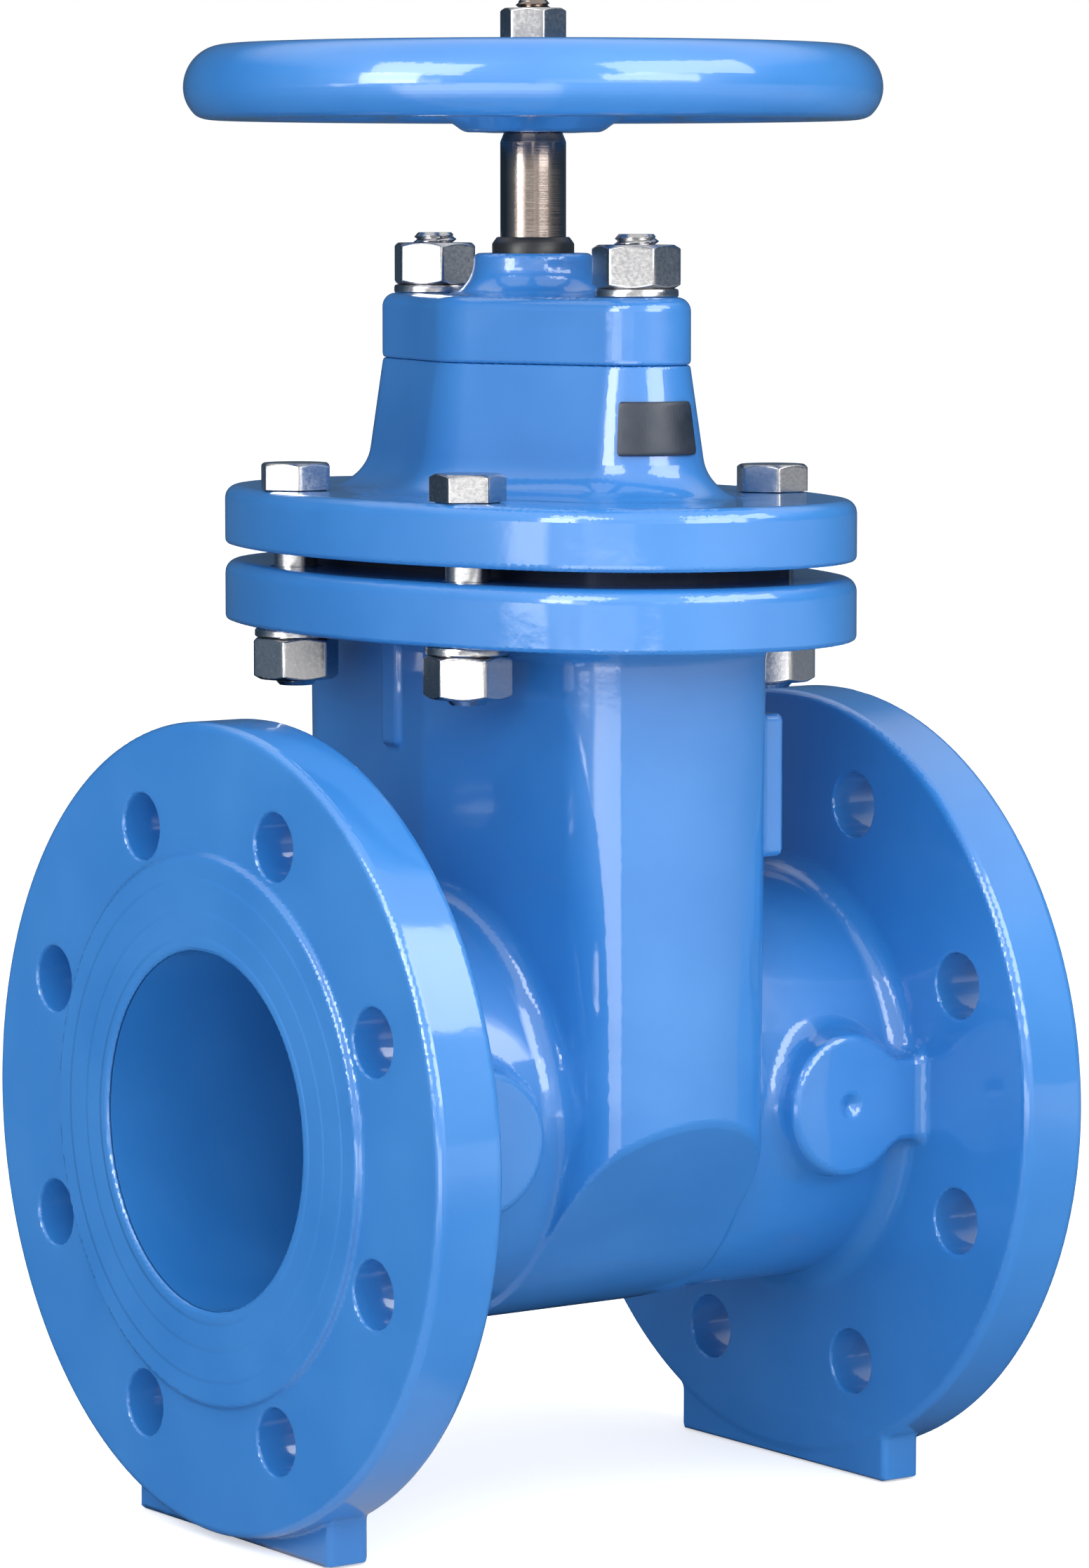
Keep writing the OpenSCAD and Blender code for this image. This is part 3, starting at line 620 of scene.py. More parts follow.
def pipe_and_flanges(x, y, z):
    """A cylinder along X, a disc with rounded edges at each end, a circular fillet between
    them, and a low raised face."""
    ax, r = np.abs(x), np.hypot(y, z - AXIS_Z)
    mid = (PLATE_X + BACK_X) / 2
    disc = shared(r - FLANGE_R, np.abs(ax - mid) - FLANGE_T / 2, 2.6)
    neck = np.maximum(r - NECK_R, ax - mid)
    ends = joined(neck, disc, 7)
    raised = np.maximum(shared(r - RAISED_R, ax - FACE_X, 1.0), mid - ax)
    return joined(ends, raised, 1.6)


def feet(x, y, z):
    """A plate under each flange, level with its inner face, that ends inside the flange."""
    top = AXIS_Z - FLANGE_R + FOOT_H
    return block(np.abs(x), y, z, (BACK_X + 0.5, -FOOT_HALF_W, -4),
                 (BACK_X + FOOT_L, FOOT_HALF_W, top), 2.0)


def bosses(x, y, z):
    """Cones that narrow outwards, each tied to the flange by a web that is level with its
    face, with a rounded edge and a drilled centre."""
    ax, ay, up = np.abs(x), np.abs(y), z - AXIS_Z
    r = np.hypot(ax - BOSS_X, up)
    grow = (BOSS_REACH - ay) * BOSS_TAPER
    disc = r - BOSS_R - grow
    web = shared(np.abs(up) - WEB_H / 2 - grow * 0.4, BOSS_X - ax, 0.1)
    outline = joined(disc, web, 2.5) * 0.992
    boss = shared(outline, np.abs(ay - BOSS_MID_Y) - (BOSS_REACH - BOSS_MID_Y), 2.2)
    boss = np.maximum(boss, ax - BACK_X - 2)
    drill = (r - 3.5 + (BOSS_REACH - ay) * 1.45) * 0.57
    return less(boss, drill, 0.5)


# %% Chimney


def underside(y, up):
    """The chimney's lower limit: round below, a little proud of the neck, and a slanted flat
    under each end that touches the round."""
    start = CHIMNEY_W / 2 - CHIMNEY_DRAFT
    touch = (math.acos(CHIMNEY_LOW_R / math.hypot(start, CHIMNEY_BREAK))
             - math.atan2(CHIMNEY_BREAK, start))
    ay = np.abs(y)
    flat = ay * math.cos(touch) - up * math.sin(touch)
    on_flat = ay * math.sin(touch) + up * math.cos(touch) > 0
    return np.where(on_flat, flat, np.hypot(ay, up)) - CHIMNEY_LOW_R


def chimney(x, y, z):
    """Sides that meet in a faint ridge, curved ends, rounded corners, and the slanted flat
    under each end."""
    ay = np.hypot(y, 1.5)
    ax = np.hypot(x, 0.3)
    up = z - AXIS_Z
    lean = CHIMNEY_DRAFT * np.clip((JOINT_Z - 4 - z) / (JOINT_Z - 4 - AXIS_Z), 0, 1)
    run = (CHIMNEY_HALF_L - CHIMNEY_END_HALF_L) / CHIMNEY_RUN
    side = (ax - CHIMNEY_HALF_L + ay * run + lean) / math.hypot(1, run)
    end_y = CHIMNEY_W / 2 - CHIMNEY_END_R
    end = np.hypot(ax, ay - end_y) - CHIMNEY_END_R + lean
    ends = np.where(ay > end_y, end, ay - end_y - CHIMNEY_END_R)
    wall = shared(side, ends, CHIMNEY_CORNER_R)
    return shared(wall, underside(y, up), 1.2)


def chimney_pads(x, y, z):
    """Two small pads left by the mould: a thick one at a corner, and a faint one."""
    up = z - AXIS_Z
    thick = block(x, y, up, (20, -67, 74), (40.5, -57, 115), 2)
    faint = block(x, y, up, (-38.8, 13.5, 104), (-20, 22, 137), 1.5)
    return thick, faint


# %% Hollow of the body


def hollow(x, y, z):
    """The waterway, and the slot, pocket and guide grooves that the wedge runs in."""
    ax, ay, up = np.abs(x), np.abs(y), z - AXIS_Z
    r = np.hypot(y, up)
    faces = ax - CHAMBER_L / 2 - up * SEAT_SLOPE
    slot = np.maximum(ay - CHAMBER_W / 2, -up)
    pocket = r - BORE_R - 1.5
    groove = np.maximum(np.maximum(ax - GROOVE_W / 2, ay - CHAMBER_W / 2 - GROOVE_DEPTH),
                        -up - 6)
    chamber = shared(joined(joined(slot, pocket, 3), groove, 0.5), faces, 1)
    return r - BORE_R, chamber


def body_field(points):
    """The whole body casting."""
    x, y, z = points.T
    solid = joined(pipe_and_flanges(x, y, z), feet(x, y, z), 1)
    solid = joined(solid, bosses(x, y, z), 4)
    tower = joined(chimney(x, y, z), oval_plate(x, y, z, JOINT_Z - JOINT_T, JOINT_Z), 6)
    thick, faint = chimney_pads(x, y, z)
    tower = joined(joined(tower, thick, 3), faint, 2)
    solid = joined(solid, tower, np.interp(z - AXIS_Z, [-30, -12, 5], [2, 3.5, 8]))
    solid = np.maximum(solid, np.maximum(-z, z - JOINT_Z))
    bore, chamber = hollow(x, y, z)
    solid = less(less(solid, chamber, 1), bore, 1.6)
    ax = np.abs(x)
    turn = np.arctan2(z - AXIS_Z, y)
    part = 2 * math.pi / HOLES
    turn = (turn / part - np.floor(turn / part) - 0.5) * part
    r = np.hypot(y, z - AXIS_Z)
    hole = np.hypot(r * np.cos(turn) - HOLE_CIRCLE_R, r * np.sin(turn)) - HOLE_R
    solid = less(solid, np.maximum(hole, BACK_X - 5 - ax), 0.9)
    return drilled(solid, x, y, joint_bolts, BOLT_HOLE_R, 0.6, JOINT_Z - JOINT_T - 6 - z)


dress("body_casting", "body", "valve_body", "epoxy", body_field, 3.1, (1.35, 2.2), 190000)

# %% [markdown]
# ## The bonnet and the gland plate
#
# The bonnet closes the chimney. Its oval flange matches the body's, and a bell rises from it
# with an outline of three circles in a row: a wide one round the stem and a smaller one round
# each gland stud. The gland plate on top repeats that outline and carries a flared hub.

# %% Bonnet
GLAND_PITCH, GLAND_MID_R, GLAND_END_R = 50, 30, 15.5
GLAND_SPIGOT_R, GLAND_SPIGOT_H = 18.5, 5
BELL_ROOF_T, BELL_WALL_T, STEM_HOLE_R = 17, 9, 11.3
STUD_HOLE_R, STUD_HOLE_H = 6.3, 16


def three_rounds(x, y):
    """Distance to the outline round three circles in a row: an arc round the middle, an arc
    round each end, and the straight lines that touch both."""
    ax, ay = np.abs(x), np.abs(y)
    fall = (GLAND_MID_R - GLAND_END_R) / GLAND_PITCH
    rise = math.sqrt(1 - fall * fall)
    along = ay * rise - ax * fall
    by_line = ax * rise + ay * fall - GLAND_MID_R
    by_end = np.hypot(ax, ay - GLAND_PITCH) - GLAND_END_R
    by_middle = np.hypot(ax, ay) - GLAND_MID_R
    return np.where(along < 0, by_middle, np.where(along > GLAND_PITCH * rise, by_end, by_line))


BELL_STEP = 0.2
BELL_LEAN = (5.5 + BELL_STEP) / (BELL_Z - SHELF_Z + 2)
BELL_END_R = GLAND_END_R - BELL_STEP + BELL_LEAN * (BELL_Z - SHELF_Z)


def bonnet_field(points):
    """Flange, leaning bell and the room inside for the raised wedge."""
    x, y, z = points.T
    grow = -BELL_STEP + BELL_LEAN * (BELL_Z - z)
    bell = shared((three_rounds(x, y) - grow) * 0.99, z - BELL_Z, 0.8)
    bell = np.maximum(bell, BONNET_Z + 2 - z)
    solid = joined(oval_plate(x, y, z, BONNET_Z, SHELF_Z), bell, 11)
    inside = three_rounds(x, y) + BELL_WALL_T + (z - SHELF_Z) * 0.14
    inside = shared(inside, z - (BELL_Z - BELL_ROOF_T), 8)
    root = shared(np.abs(y) - CHAMBER_W / 2, np.abs(x) - CHAMBER_L / 2 - 4.1, 14)
    root = np.maximum(root, z - BONNET_Z - 12)
    solid = less(solid, joined(inside, root, 6), 1)
    r = np.hypot(x, y)
    solid = less(solid, r - STEM_HOLE_R, 0.5)
    spigot = np.maximum(r - GLAND_SPIGOT_R, BELL_Z - GLAND_SPIGOT_H - z)
    solid = drilled(less(solid, spigot, 0.5), x, y, joint_bolts, BOLT_HOLE_R, 0.6)
    return drilled(solid, x, y, gland_studs, STUD_HOLE_R, 0.4, BELL_Z - STUD_HOLE_H - z)


dress("bonnet_casting", "bonnet", "valve_body", "epoxy", bonnet_field, 3.1, (1.15, 2), 150000)

# %% Gland plate
GLAND_HUB_R, GLAND_BORE_R = 17.3, 9.7


def gland_field(points):
    """A plate of three rounds with a soft upper edge, and a hub that flares into it."""
    x, y, z = points.T
    r = np.hypot(x, y)
    plate = shared(three_rounds(x, y), z - GLAND_Z, 4)
    plate = shared(plate, BELL_Z - z, 1.2)
    hub = shared(r - GLAND_HUB_R, z - HUB_Z, 2)
    solid = joined(plate, np.maximum(hub, GLAND_Z - 8 - z), 9.5)
    solid = less(solid, r - GLAND_BORE_R, 0.6)
    solid = less(solid, np.maximum(r - GLAND_SPIGOT_R, z - BELL_Z - GLAND_SPIGOT_H), 0.5)
    return drilled(solid, x, y, gland_studs, BOLT_HOLE_R, 0.6)


dress("gland_casting", "gland_plate", "valve_body", "epoxy", gland_field, 3.1, (0.85, 1.6),
      90000)

# %% [markdown]
# ## The handwheel
#
# The handwheel is cast in one: a rim with a round outside and a flatter underside, five
# spokes, and a hub with a squared hole. The rim's section is two half ellipses of different
# heights, cut flat below, and carried round the stem.

# %% Handwheel
WHEEL_R = span("handwheel")[1][0]
WHEEL_Z = heights("handwheel")[0]
RIM_Z = WHEEL_Z + 3.5
RIM_H, RIM_W = 21.5, 24
HUB_LOW = WHEEL_Z + 0.1
HUB_TOP = heights("handwheel_washer")[0]
UNDERSIDE_R = 32
SPOKES, SPOKE_LIFT, SPOKE_R, SPOKE_TAPER = 5, 11, 6.6, 1.2
FIRST_SPOKE = math.radians(18)
SQUARE_HALF, STEM_ROOM_R = 6.2, 8.7


def rim(r, z):
    """The rim's section: an ellipse that is taller above its widest line than below it."""
    across = (r - WHEEL_R + RIM_W / 2) / (RIM_W / 2)
    widest = RIM_Z + RIM_H * 0.43
    tall = np.where(z > widest, RIM_H * 0.57, RIM_H * 0.52)
    up = (z - widest) / tall
    return (np.hypot(across, up) - 1) * RIM_W / 2


def handwheel_field(points):
    """Rim, hub and spokes, with a fillet at each end of a spoke."""
    x, y, z = points.T
    r = np.hypot(x, y)
    up = z - HUB_LOW
    wide = np.interp(up, [0, 4.5, 8, 20, 24], [20.2, 24.7, 24.4, 18.2, 16.8])
    hub = shared((r - wide) * 0.9, np.abs(up - 12) - 12, 1.2)
    turn = np.arctan2(y, x) - FIRST_SPOKE
    part = 2 * math.pi / SPOKES
    turn = (turn / part - np.floor(turn / part + 0.5)) * part
    across, along = r * np.sin(turn), r * np.cos(turn)
    half = SPOKE_R - SPOKE_TAPER * np.clip(along / WHEEL_R, 0, 1)
    spoke = np.hypot(across / 1.1, up - SPOKE_LIFT) - half
    spoke = np.maximum(spoke, np.maximum(along - WHEEL_R + RIM_W / 2, 5 - along))
    solid = joined(joined(hub, spoke, 6), rim(r, z), 6)
    solid = less(solid, np.maximum(z - RIM_Z, UNDERSIDE_R - r), 1.6)
    solid = less(solid, np.maximum(r - STEM_ROOM_R, up - 2), 0.4)
    square = np.maximum(np.abs(x), np.abs(y)) - SQUARE_HALF
    return less(solid, np.maximum(square, 1 - up), 0.4)


dress("wheel_casting", "handwheel", "spindle", "epoxy", handwheel_field, 2.1, (1.0, 1.8),
      150000)

# %% [markdown]
# ## Turned and threaded pieces
#
# Nuts, bolts, studs and the stem are made of rings stacked along Z, so each is one grid: one
# way round the ring, the other along the piece. The radius depends on both. For a hexagon it
# is the distance to the flat sides, softened at the corners. For a chamfer it is a cone, and
# the smaller of the two wins. For a thread it rises and falls with height and turn together.

# %% Ring stacks
HEX_STEPS = np.array([-30, -20, -12, -7, -4, -2.2, -1, 0, 1, 2.2, 4, 7, 12, 20])
HEX_TURNS = np.radians((np.arange(6)[:, None] * 60 + HEX_STEPS[None]).ravel() + 30.0)
ROUND_TURNS = np.linspace(0, 2 * np.pi, 96, endpoint=False)


def hexagon(turns, across_flats):
    """Radius of a hexagon at some turns, with softly rounded corners."""
    sides = np.radians(np.arange(6) * 60)
    facing = np.maximum(np.cos(turns[..., None] - sides), 0)
    return across_flats / 2 / (facing ** 44).sum(-1) ** (1 / 44)


def grid_faces(rows, steps):
    """Four-cornered faces between rows of points, where each row's end meets its start."""
    start, step = np.arange(rows - 1)[:, None] * steps, np.arange(steps)[None]
    a, b = start + step, start + (step + 1) % steps
    return np.stack([a, b, b + steps, a + steps], -1).reshape(-1, 4)


def closed_stack(name, turns, rows, centre, twist=0.0, around=False):
    """A mesh of stacked rings from a list of (radius, height) rows. With around, the last
    row meets the first, as on a piece with a hole. Without it, both ends shrink to a point."""
    radius = np.stack([np.broadcast_to(r, turns.shape) for r, _ in rows]).astype(float)
    height = np.stack([np.broadcast_to(h, turns.shape) for _, h in rows]).astype(float)
    if around:
        radius, height = np.vstack([radius, radius[:1]]), np.vstack([height, height[:1]])
    angle = turns + twist
    points = np.stack([centre[0] + radius * np.cos(angle), centre[1] + radius * np.sin(angle),
                       height], -1).reshape(-1, 3)
    return welded(new_mesh(name, points, grid_faces(*radius.shape)))


def welded(mesh):
    """Merge the points that a closed stack repeats, and point the faces outwards."""
    work = bmesh.new()
    work.from_mesh(mesh)
    bmesh.ops.remove_doubles(work, verts=work.verts, dist=1e-7)
    bmesh.ops.recalc_face_normals(work, faces=work.faces)
    work.to_mesh(mesh)
    work.free()
    mesh.shade_smooth()
    mesh.set_sharp_from_angle(angle=math.radians(35))
    return mesh


# %% [markdown]
# ## Nuts, heads and washers
#
# A hexagon is turned off at 30 degrees after it is cut, which leaves the curved lines at the
# top of each flat. They appear by themselves once the cone and the hexagon are both there.

# %% Hexagon rows
FAR = 99  # past the reach of any cone, for an end without one


def hex_rows(af, low, high, chamfer_low):
    """Rows up the outside of a hexagon, with radius the smaller of hexagon and cone."""
    depth = af * (1 / math.cos(math.pi / 6) - 1) / 2 * math.tan(math.pi / 6) + 0.35
    near = depth * np.linspace(0, 1, 9) ** 1.3
    flat = hexagon(HEX_TURNS, af)
    rows = []
    for h in np.concatenate([low + near, high - near[::-1]]):
        reach = min(h - low if chamfer_low else FAR, high - h)
        cone = af / 2 * 0.965 + reach / math.tan(math.pi / 6)
        soft = -np.logaddexp(-flat / 0.08, -cone / 0.08) * 0.08
        rows.append((soft, h))
    return rows


def nut_mesh(name, af, low, high, bore_r, centre, twist):
    """A nut with both ends turned off and a countersunk hole."""
    rows = hex_rows(af, low, high, True)
    rows += [(bore_r + 1.1, high), (bore_r + 0.1, high - 0.9), (bore_r - 0.1, high - 1.2),
             (bore_r - 0.1, low + 1.2), (bore_r + 0.1, low + 0.9), (bore_r + 1.1, low)]
    return closed_stack(name, HEX_TURNS, rows, centre, twist, around=True)


def washer_mesh(name, low, high, outer, inner, centre):
    """A flat washer, stamped: one upper edge is drawn over, and the lower is crisp."""
    e = 0.35
    rows = [(inner + e, low), (outer - e, low), (outer, low + e), (outer, high - 2 * e),
            (outer - e * 0.6, high - e * 0.6), (outer - 2 * e, high), (inner + e, high),
            (inner, high - e), (inner, low + e)]
    return closed_stack(name, ROUND_TURNS, rows, centre, around=True)


# %% Threads


def thread_rows(turns, radius, pitch, low, high, tip_low, tip_high, per_turn=10):
    """Rows of a screw thread: the radius falls and rises once a pitch, and the phase moves
    with the turn. Cones shorten the ends."""
    depth = pitch * 0.54
    rows = []
    for h in np.linspace(low, high, int((high - low) / pitch * per_turn) + 2):
        phase = (h / pitch - turns / (2 * np.pi)) % 1
        wave = np.clip(np.abs(phase - 0.5) * 2.6 - 0.15, 0, 1)
        r = radius - depth * wave
        reach = min(h - low if tip_low else FAR, high - h if tip_high else FAR)
        rows.append((np.minimum(r, radius - depth - 0.4 + reach * 0.9), h))
    return rows


# %% Fastener sizes
THREAD_TURNS = np.linspace(0, 2 * np.pi, 56, endpoint=False)
STUD_R, STUD_PITCH = 6.35, 1.954
HEAD_AF, NUT_AF = 19, 22.2
WASHER_R, WASHER_HOLE_R = 12, 7


def nut_and_washer(name, node, i, centre, twist):
    """The nut and the washer of one fastener, each between the heights of its solid."""
    for part in ("nut", "washer"):
        label, solid = f"{name}_{part}_{i}", f"{node}_{part}_{i}"
        low, high = heights(solid)
        if part == "nut":
            mesh = nut_mesh(label, NUT_AF, low, high, STUD_R, centre, twist)
        else:
            mesh = washer_mesh(label, low, high, WASHER_R, WASHER_HOLE_R, centre)
        place(mesh, label, "valve_body", "zinc", solid)


# %% Joint bolts, nuts and washers
HEAD_TWISTS = np.radians([-3.4, 33.0, 32.9, 14.0])
NUT_TWISTS = np.radians([47.3, 48.1, 10.0, 25.0])
for i, centre in enumerate(joint_bolts, 1):
    low, high = heights(f"bonnet_bolt_{i}")
    grip = heights(f"bonnet_washer_{i}")[1]
    rows = [(0.0, low)]
    rows += thread_rows(HEX_TURNS, STUD_R, STUD_PITCH, low, grip + 4, True, False)
    rows += [(STUD_R - 0.5, grip + 5), (STUD_R, grip + 5.6), (STUD_R, SHELF_Z - 0.5),
             (9.0, SHELF_Z + 0.02), (9.2, SHELF_Z + 0.3)]
    rows += hex_rows(HEAD_AF, SHELF_Z + 0.3, high, False)
    rows += [(8.3, high), (0.0, high - 0.05)]
    mesh = closed_stack(f"joint_bolt_{i}", HEX_TURNS, rows, centre, HEAD_TWISTS[i - 1])
    place(mesh, f"joint_bolt_{i}", "valve_body", "zinc", f"bonnet_bolt_{i}")
    nut_and_washer("joint", "bonnet", i, centre, NUT_TWISTS[i - 1])

# %% Gland studs, nuts and washers
GLAND_TWISTS = np.radians([46.4, 35.0])
for i, centre in enumerate(gland_studs, 1):
    low, high = heights(f"gland_stud_{i}")
    rows = [(0.0, low)]
    rows += thread_rows(THREAD_TURNS, STUD_R, STUD_PITCH, low, high, True, True)
    rows += [(4.5, high - 0.01), (0.0, high - 0.02)]
    mesh = closed_stack(f"stud_{i}", THREAD_TURNS, rows, centre)
    place(mesh, f"stud_{i}", "valve_body", "zinc", f"gland_stud_{i}")
    nut_and_washer("stud", "gland", i, centre, GLAND_TWISTS[i - 1])

# %% Handwheel nut and washer
WHEEL_NUT_AF, WHEEL_NUT_TWIST, TIP_R = 17, math.radians(42.9), 5
TOP_EXTRA = 1.6  # the nut and the stem's end stand this much taller than their solids
low, high = heights("handwheel_nut")
mesh = nut_mesh("wheel_nut", WHEEL_NUT_AF, low, high + TOP_EXTRA, TIP_R, (0, 0), WHEEL_NUT_TWIST)
place(mesh, "wheel_nut", "spindle", "zinc", "handwheel_nut")
low, high = heights("handwheel_washer")
mesh = washer_mesh("wheel_washer", low, high, 10, 5.3, (0, 0))
place(mesh, "wheel_washer", "spindle", "zinc", "handwheel_washer")

# %% [markdown]
# ## The stem
#
# The stem turns but doesn't rise. Outside, it is a plain ground shaft that narrows under the
# handwheel, where a square holds the hub. Inside, a collar carries the load and a long
# trapezoid thread moves the nut in the wedge. Rings again, with a rounded square for the
# driving end.

# %% Stem


def squared(turns, across):
    """Radius of a rounded square at some turns."""
    sides = np.radians(np.arange(4) * 90)
    facing = np.maximum(np.cos(turns[..., None] - sides), 0)
    return across / 2 / (facing ** 30).sum(-1) ** (1 / 30)


STEM_R, STEM_THREAD_R, STEM_PITCH, COLLAR_R = 9.5, 11, 5, 17
SQUARE_AF, TIP_PITCH = 12, 1.5
stem_low, stem_high = heights("stem")
stem_top = stem_high + TOP_EXTRA
collar_low, collar_high = heights("lower_thrust_washer")[1], heights("upper_thrust_washer")[0]
square_low, square_high = WHEEL_Z + 2, HUB_TOP - 3
square = squared(THREAD_TURNS, SQUARE_AF)
rows = [(0.0, stem_low)]
rows += thread_rows(THREAD_TURNS, STEM_THREAD_R, STEM_PITCH, stem_low, collar_low - 14, True,
                    False, per_turn=14)
rows += [(STEM_THREAD_R - 1.5, collar_low - 12), (STEM_THREAD_R - 0.1, collar_low - 10),
         (STEM_THREAD_R - 0.1, collar_low), (COLLAR_R - 0.4, collar_low),
         (COLLAR_R, collar_low + 0.4), (COLLAR_R, collar_high - 0.4),
         (COLLAR_R - 0.4, collar_high), (STEM_R, collar_high)]
rows += [(STEM_R, h) for h in np.linspace(collar_high + 2, HUB_LOW - 2.9, 8)]
rows += [(STEM_R - 0.1, HUB_LOW - 2.5), (STEM_R - 1, HUB_LOW - 0.3),
         (STEM_R - 1, square_low - 0.2), (8.2, square_low), (square, square_low + 0.02),
         (square, square_high), (4.9, square_high + 0.05)]
rows += thread_rows(THREAD_TURNS, TIP_R, TIP_PITCH, square_high + 0.2, stem_top, False, True)
rows += [(0.0, stem_top - 0.02)]
mesh = closed_stack("stem_shaft", THREAD_TURNS, rows, (0, 0))
place(mesh, "stem_shaft", "spindle", "stem", "stem")

# %% Wiper
low, high = heights("stem_wiper")
rows = [(9.7, low), (11.85, low), (11.85, high - 2.0), (11.5, high - 1.4),
        (10.6, high - 0.2), (10.3, high), (9.9, high), (9.6, high - 0.4)]
mesh = closed_stack("wiper_ring", ROUND_TURNS, rows, (0, 0), around=True)
place(mesh, "wiper_ring", "valve_body", "rubber", "stem_wiper")

# %% [markdown]
# ## The tag
#
# A thin bare plate is bent round the bell's end. It is a grid of turns and heights that
# follows the bell's cone, with rounded corners, an outer skin and an inner one.

# %% Tag plate
TAG_SWEEP, TAG_TURN, TAG_CORNER, TAG_T, TAG_GAP = 74, 15, 0.7, 1.0, 0.15


def tag_mesh():
    """Columns of rings: each column goes up the outer skin and down the inner one."""
    low, high = heights("tag_plate")
    centre = gland_studs[0]
    turns = np.radians(270 - TAG_TURN + TAG_SWEEP * np.linspace(-0.5, 0.5, 61))
    radius_at = BELL_END_R - BELL_LEAN * (np.array([low, high]) - SHELF_Z)
    length = np.radians(TAG_SWEEP) * radius_at.mean()
    edge = np.minimum(np.linspace(0, 1, 61), np.linspace(1, 0, 61)) * length
    inset = TAG_CORNER - np.sqrt(np.maximum(TAG_CORNER ** 2 - np.maximum(
        TAG_CORNER - edge, 0) ** 2, 0))
    rise = np.array([0, 0.3, 1, 2, 4, 8, 12, 13, 14, 14.7, 15]) / 15
    soft = np.array([0.35, 0.1, 0, 0, 0, 0, 0, 0, 0, 0.1, 0.35])
    z = low + inset[:, None] + (high - low - 2 * inset[:, None]) * rise[None]
    bell = BELL_END_R - BELL_LEAN * (z - SHELF_Z)
    inner = bell + TAG_GAP
    radius = np.concatenate([inner + TAG_T - soft, inner[:, ::-1]], 1)
    height = np.concatenate([z, z[:, ::-1]], 1)
    columns, rows = radius.shape
    points = np.stack([centre[0] + radius * np.cos(turns)[:, None],
                       centre[1] + radius * np.sin(turns)[:, None], height], -1).reshape(-1, 3)
    faces = [grid_faces(columns, rows)]
    side = np.arange(rows // 2 - 1)
    for start in (0, (columns - 1) * rows):
        faces.append(start + np.stack([side, side + 1, rows - 2 - side, rows - 1 - side], -1))
    return welded(new_mesh("tag", points, np.concatenate(faces)))


place(tag_mesh(), "tag", "valve_body", "tag", "tag_plate")

# %% [markdown]
# ## The wedge
#
# The wedge is iron with rubber moulded all over it. At rest it is up in the bonnet with the
# waterway clear, and it comes down as the wheel turns. It is a field again: a disc between
# two sloping faces, with a block above it for the stem nut and a tongue on each side.

# %% Wedge
WEDGE_H, SHOULDER_UP, SHOULDER_HALF_H = 84, 26, 20
NUT_SLOT_UP, NUT_SLOT_HALF_H, STEM_ROOM = 71.5, 7.5, 13.5
WEDGE_RISE = heights("wedge")[1] - (AXIS_Z + WEDGE_H)


def wedge_field(points):
    """Disc, shoulders, nut block and tongues between two sloping faces, less the hole for
    the stem and the slot for the nut."""
    x, y, z = points.T
    up = z - AXIS_Z - WEDGE_RISE
    ax, ay = np.abs(x), np.abs(y)
    r = np.hypot(y, up)
    disc = r - BORE_R - 1
    band = np.abs(up - SHOULDER_UP) - SHOULDER_HALF_H
    shoulders = np.maximum(ay - CHAMBER_W / 2 + 5, band)
    head = np.maximum(ay - 24, np.abs(up - 57) - 27)
    head = shared(head, ax - 19, 3)
    outline = joined(joined(disc, shoulders, 4), head, 4)
    faces = ax - CHAMBER_L / 2 + 0.5 - up * SEAT_SLOPE
    solid = shared(outline, faces, 2)
    tongue = np.maximum(np.maximum(ax - 5.5, ay - 63), band)
    solid = joined(solid, shared(tongue, band, 1.5), 1.5)
    slot = np.maximum(np.minimum(ax - 14, -x), ay - 19)
    slot = np.maximum(slot, np.abs(up - NUT_SLOT_UP) - NUT_SLOT_HALF_H)
    return less(less(solid, slot, 0.5), np.maximum(np.hypot(x, y) - STEM_ROOM, -47 - up), 0.8)


dress("wedge_casting", "wedge", "gate", "cladding", wedge_field, 2.1, (1.2, 2), 60000)

# %% [markdown]
# ## Small plain pieces
#
# The gasket, the thrust washers and the stem nut have the right shape already, so they keep
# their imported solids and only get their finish.

# %% Finishes for the kept solids
for name, finish in (("bonnet_gasket", "gasket"), ("lower_thrust_washer", "brass"),
                     ("upper_thrust_washer", "brass"), ("stem_nut", "brass")):
    kept = nodes[name].data
    kept.materials.clear()
    kept.materials.append(finishes[finish])
    print(f"{name}: kept, {finish}")

# %% [markdown]
# ## Floor, background and light
#
# The valve stands on a white floor in a white room. Only the camera sees the room as pure
# white; the light that falls on the valve is dimmer, so its colour holds.
#
# Glossy paint shows its surroundings, so they are drawn for mirrored rays alone: the room and
# the floor get a brightness for each turn round the valve, bright in front and dim behind.
# Steep walls low on the valve mirror the floor close by, and higher ones mirror it far away,
# so the floor has three zones. Dim parts are blue, which keeps the edges of the castings blue.
#
# Lamps of kind gloss only draw highlights, and lamps of kind soft only give light.

# %% Room values by turn
ROOM_LIGHT, FLOOR_LIFT, CEILING = 0.78, 0.5, 1.1
ROOM_TURNS = ((-180, 0.15), (-150, 0.08), (-110, 0.12), (-85, 0.3), (-66, 0.4), (-54, 1.1),
              (-28, 1.1), (-20, 0.7), (-4, 0.95), (44, 1.0), (60, 0.6), (76, 0.22),
              (150, 0.15), (180, 0.15))
NEAR_TURNS = ((-180, 0.15), (-115, 0.1), (-60, 0.5), (-47, 0.6), (-42, 4.2), (6, 3.8),
              (11, 0.9), (75, 0.9), (120, 0.3), (180, 0.15))
FAR_TURNS = ((-180, 0.15), (-115, 0.1), (-80, 0.5), (-69, 0.7), (-66, 4.6), (-56, 4.4),
             (-52, 0.9), (-34, 0.9), (-32, 1.7), (-6, 1.6), (-4, 0.9), (75, 0.9), (120, 0.3),
             (180, 0.15))
FLOOR_ZONES = ((3.0, 3.4, FAR_TURNS), (8.0, 10.0, ROOM_TURNS))


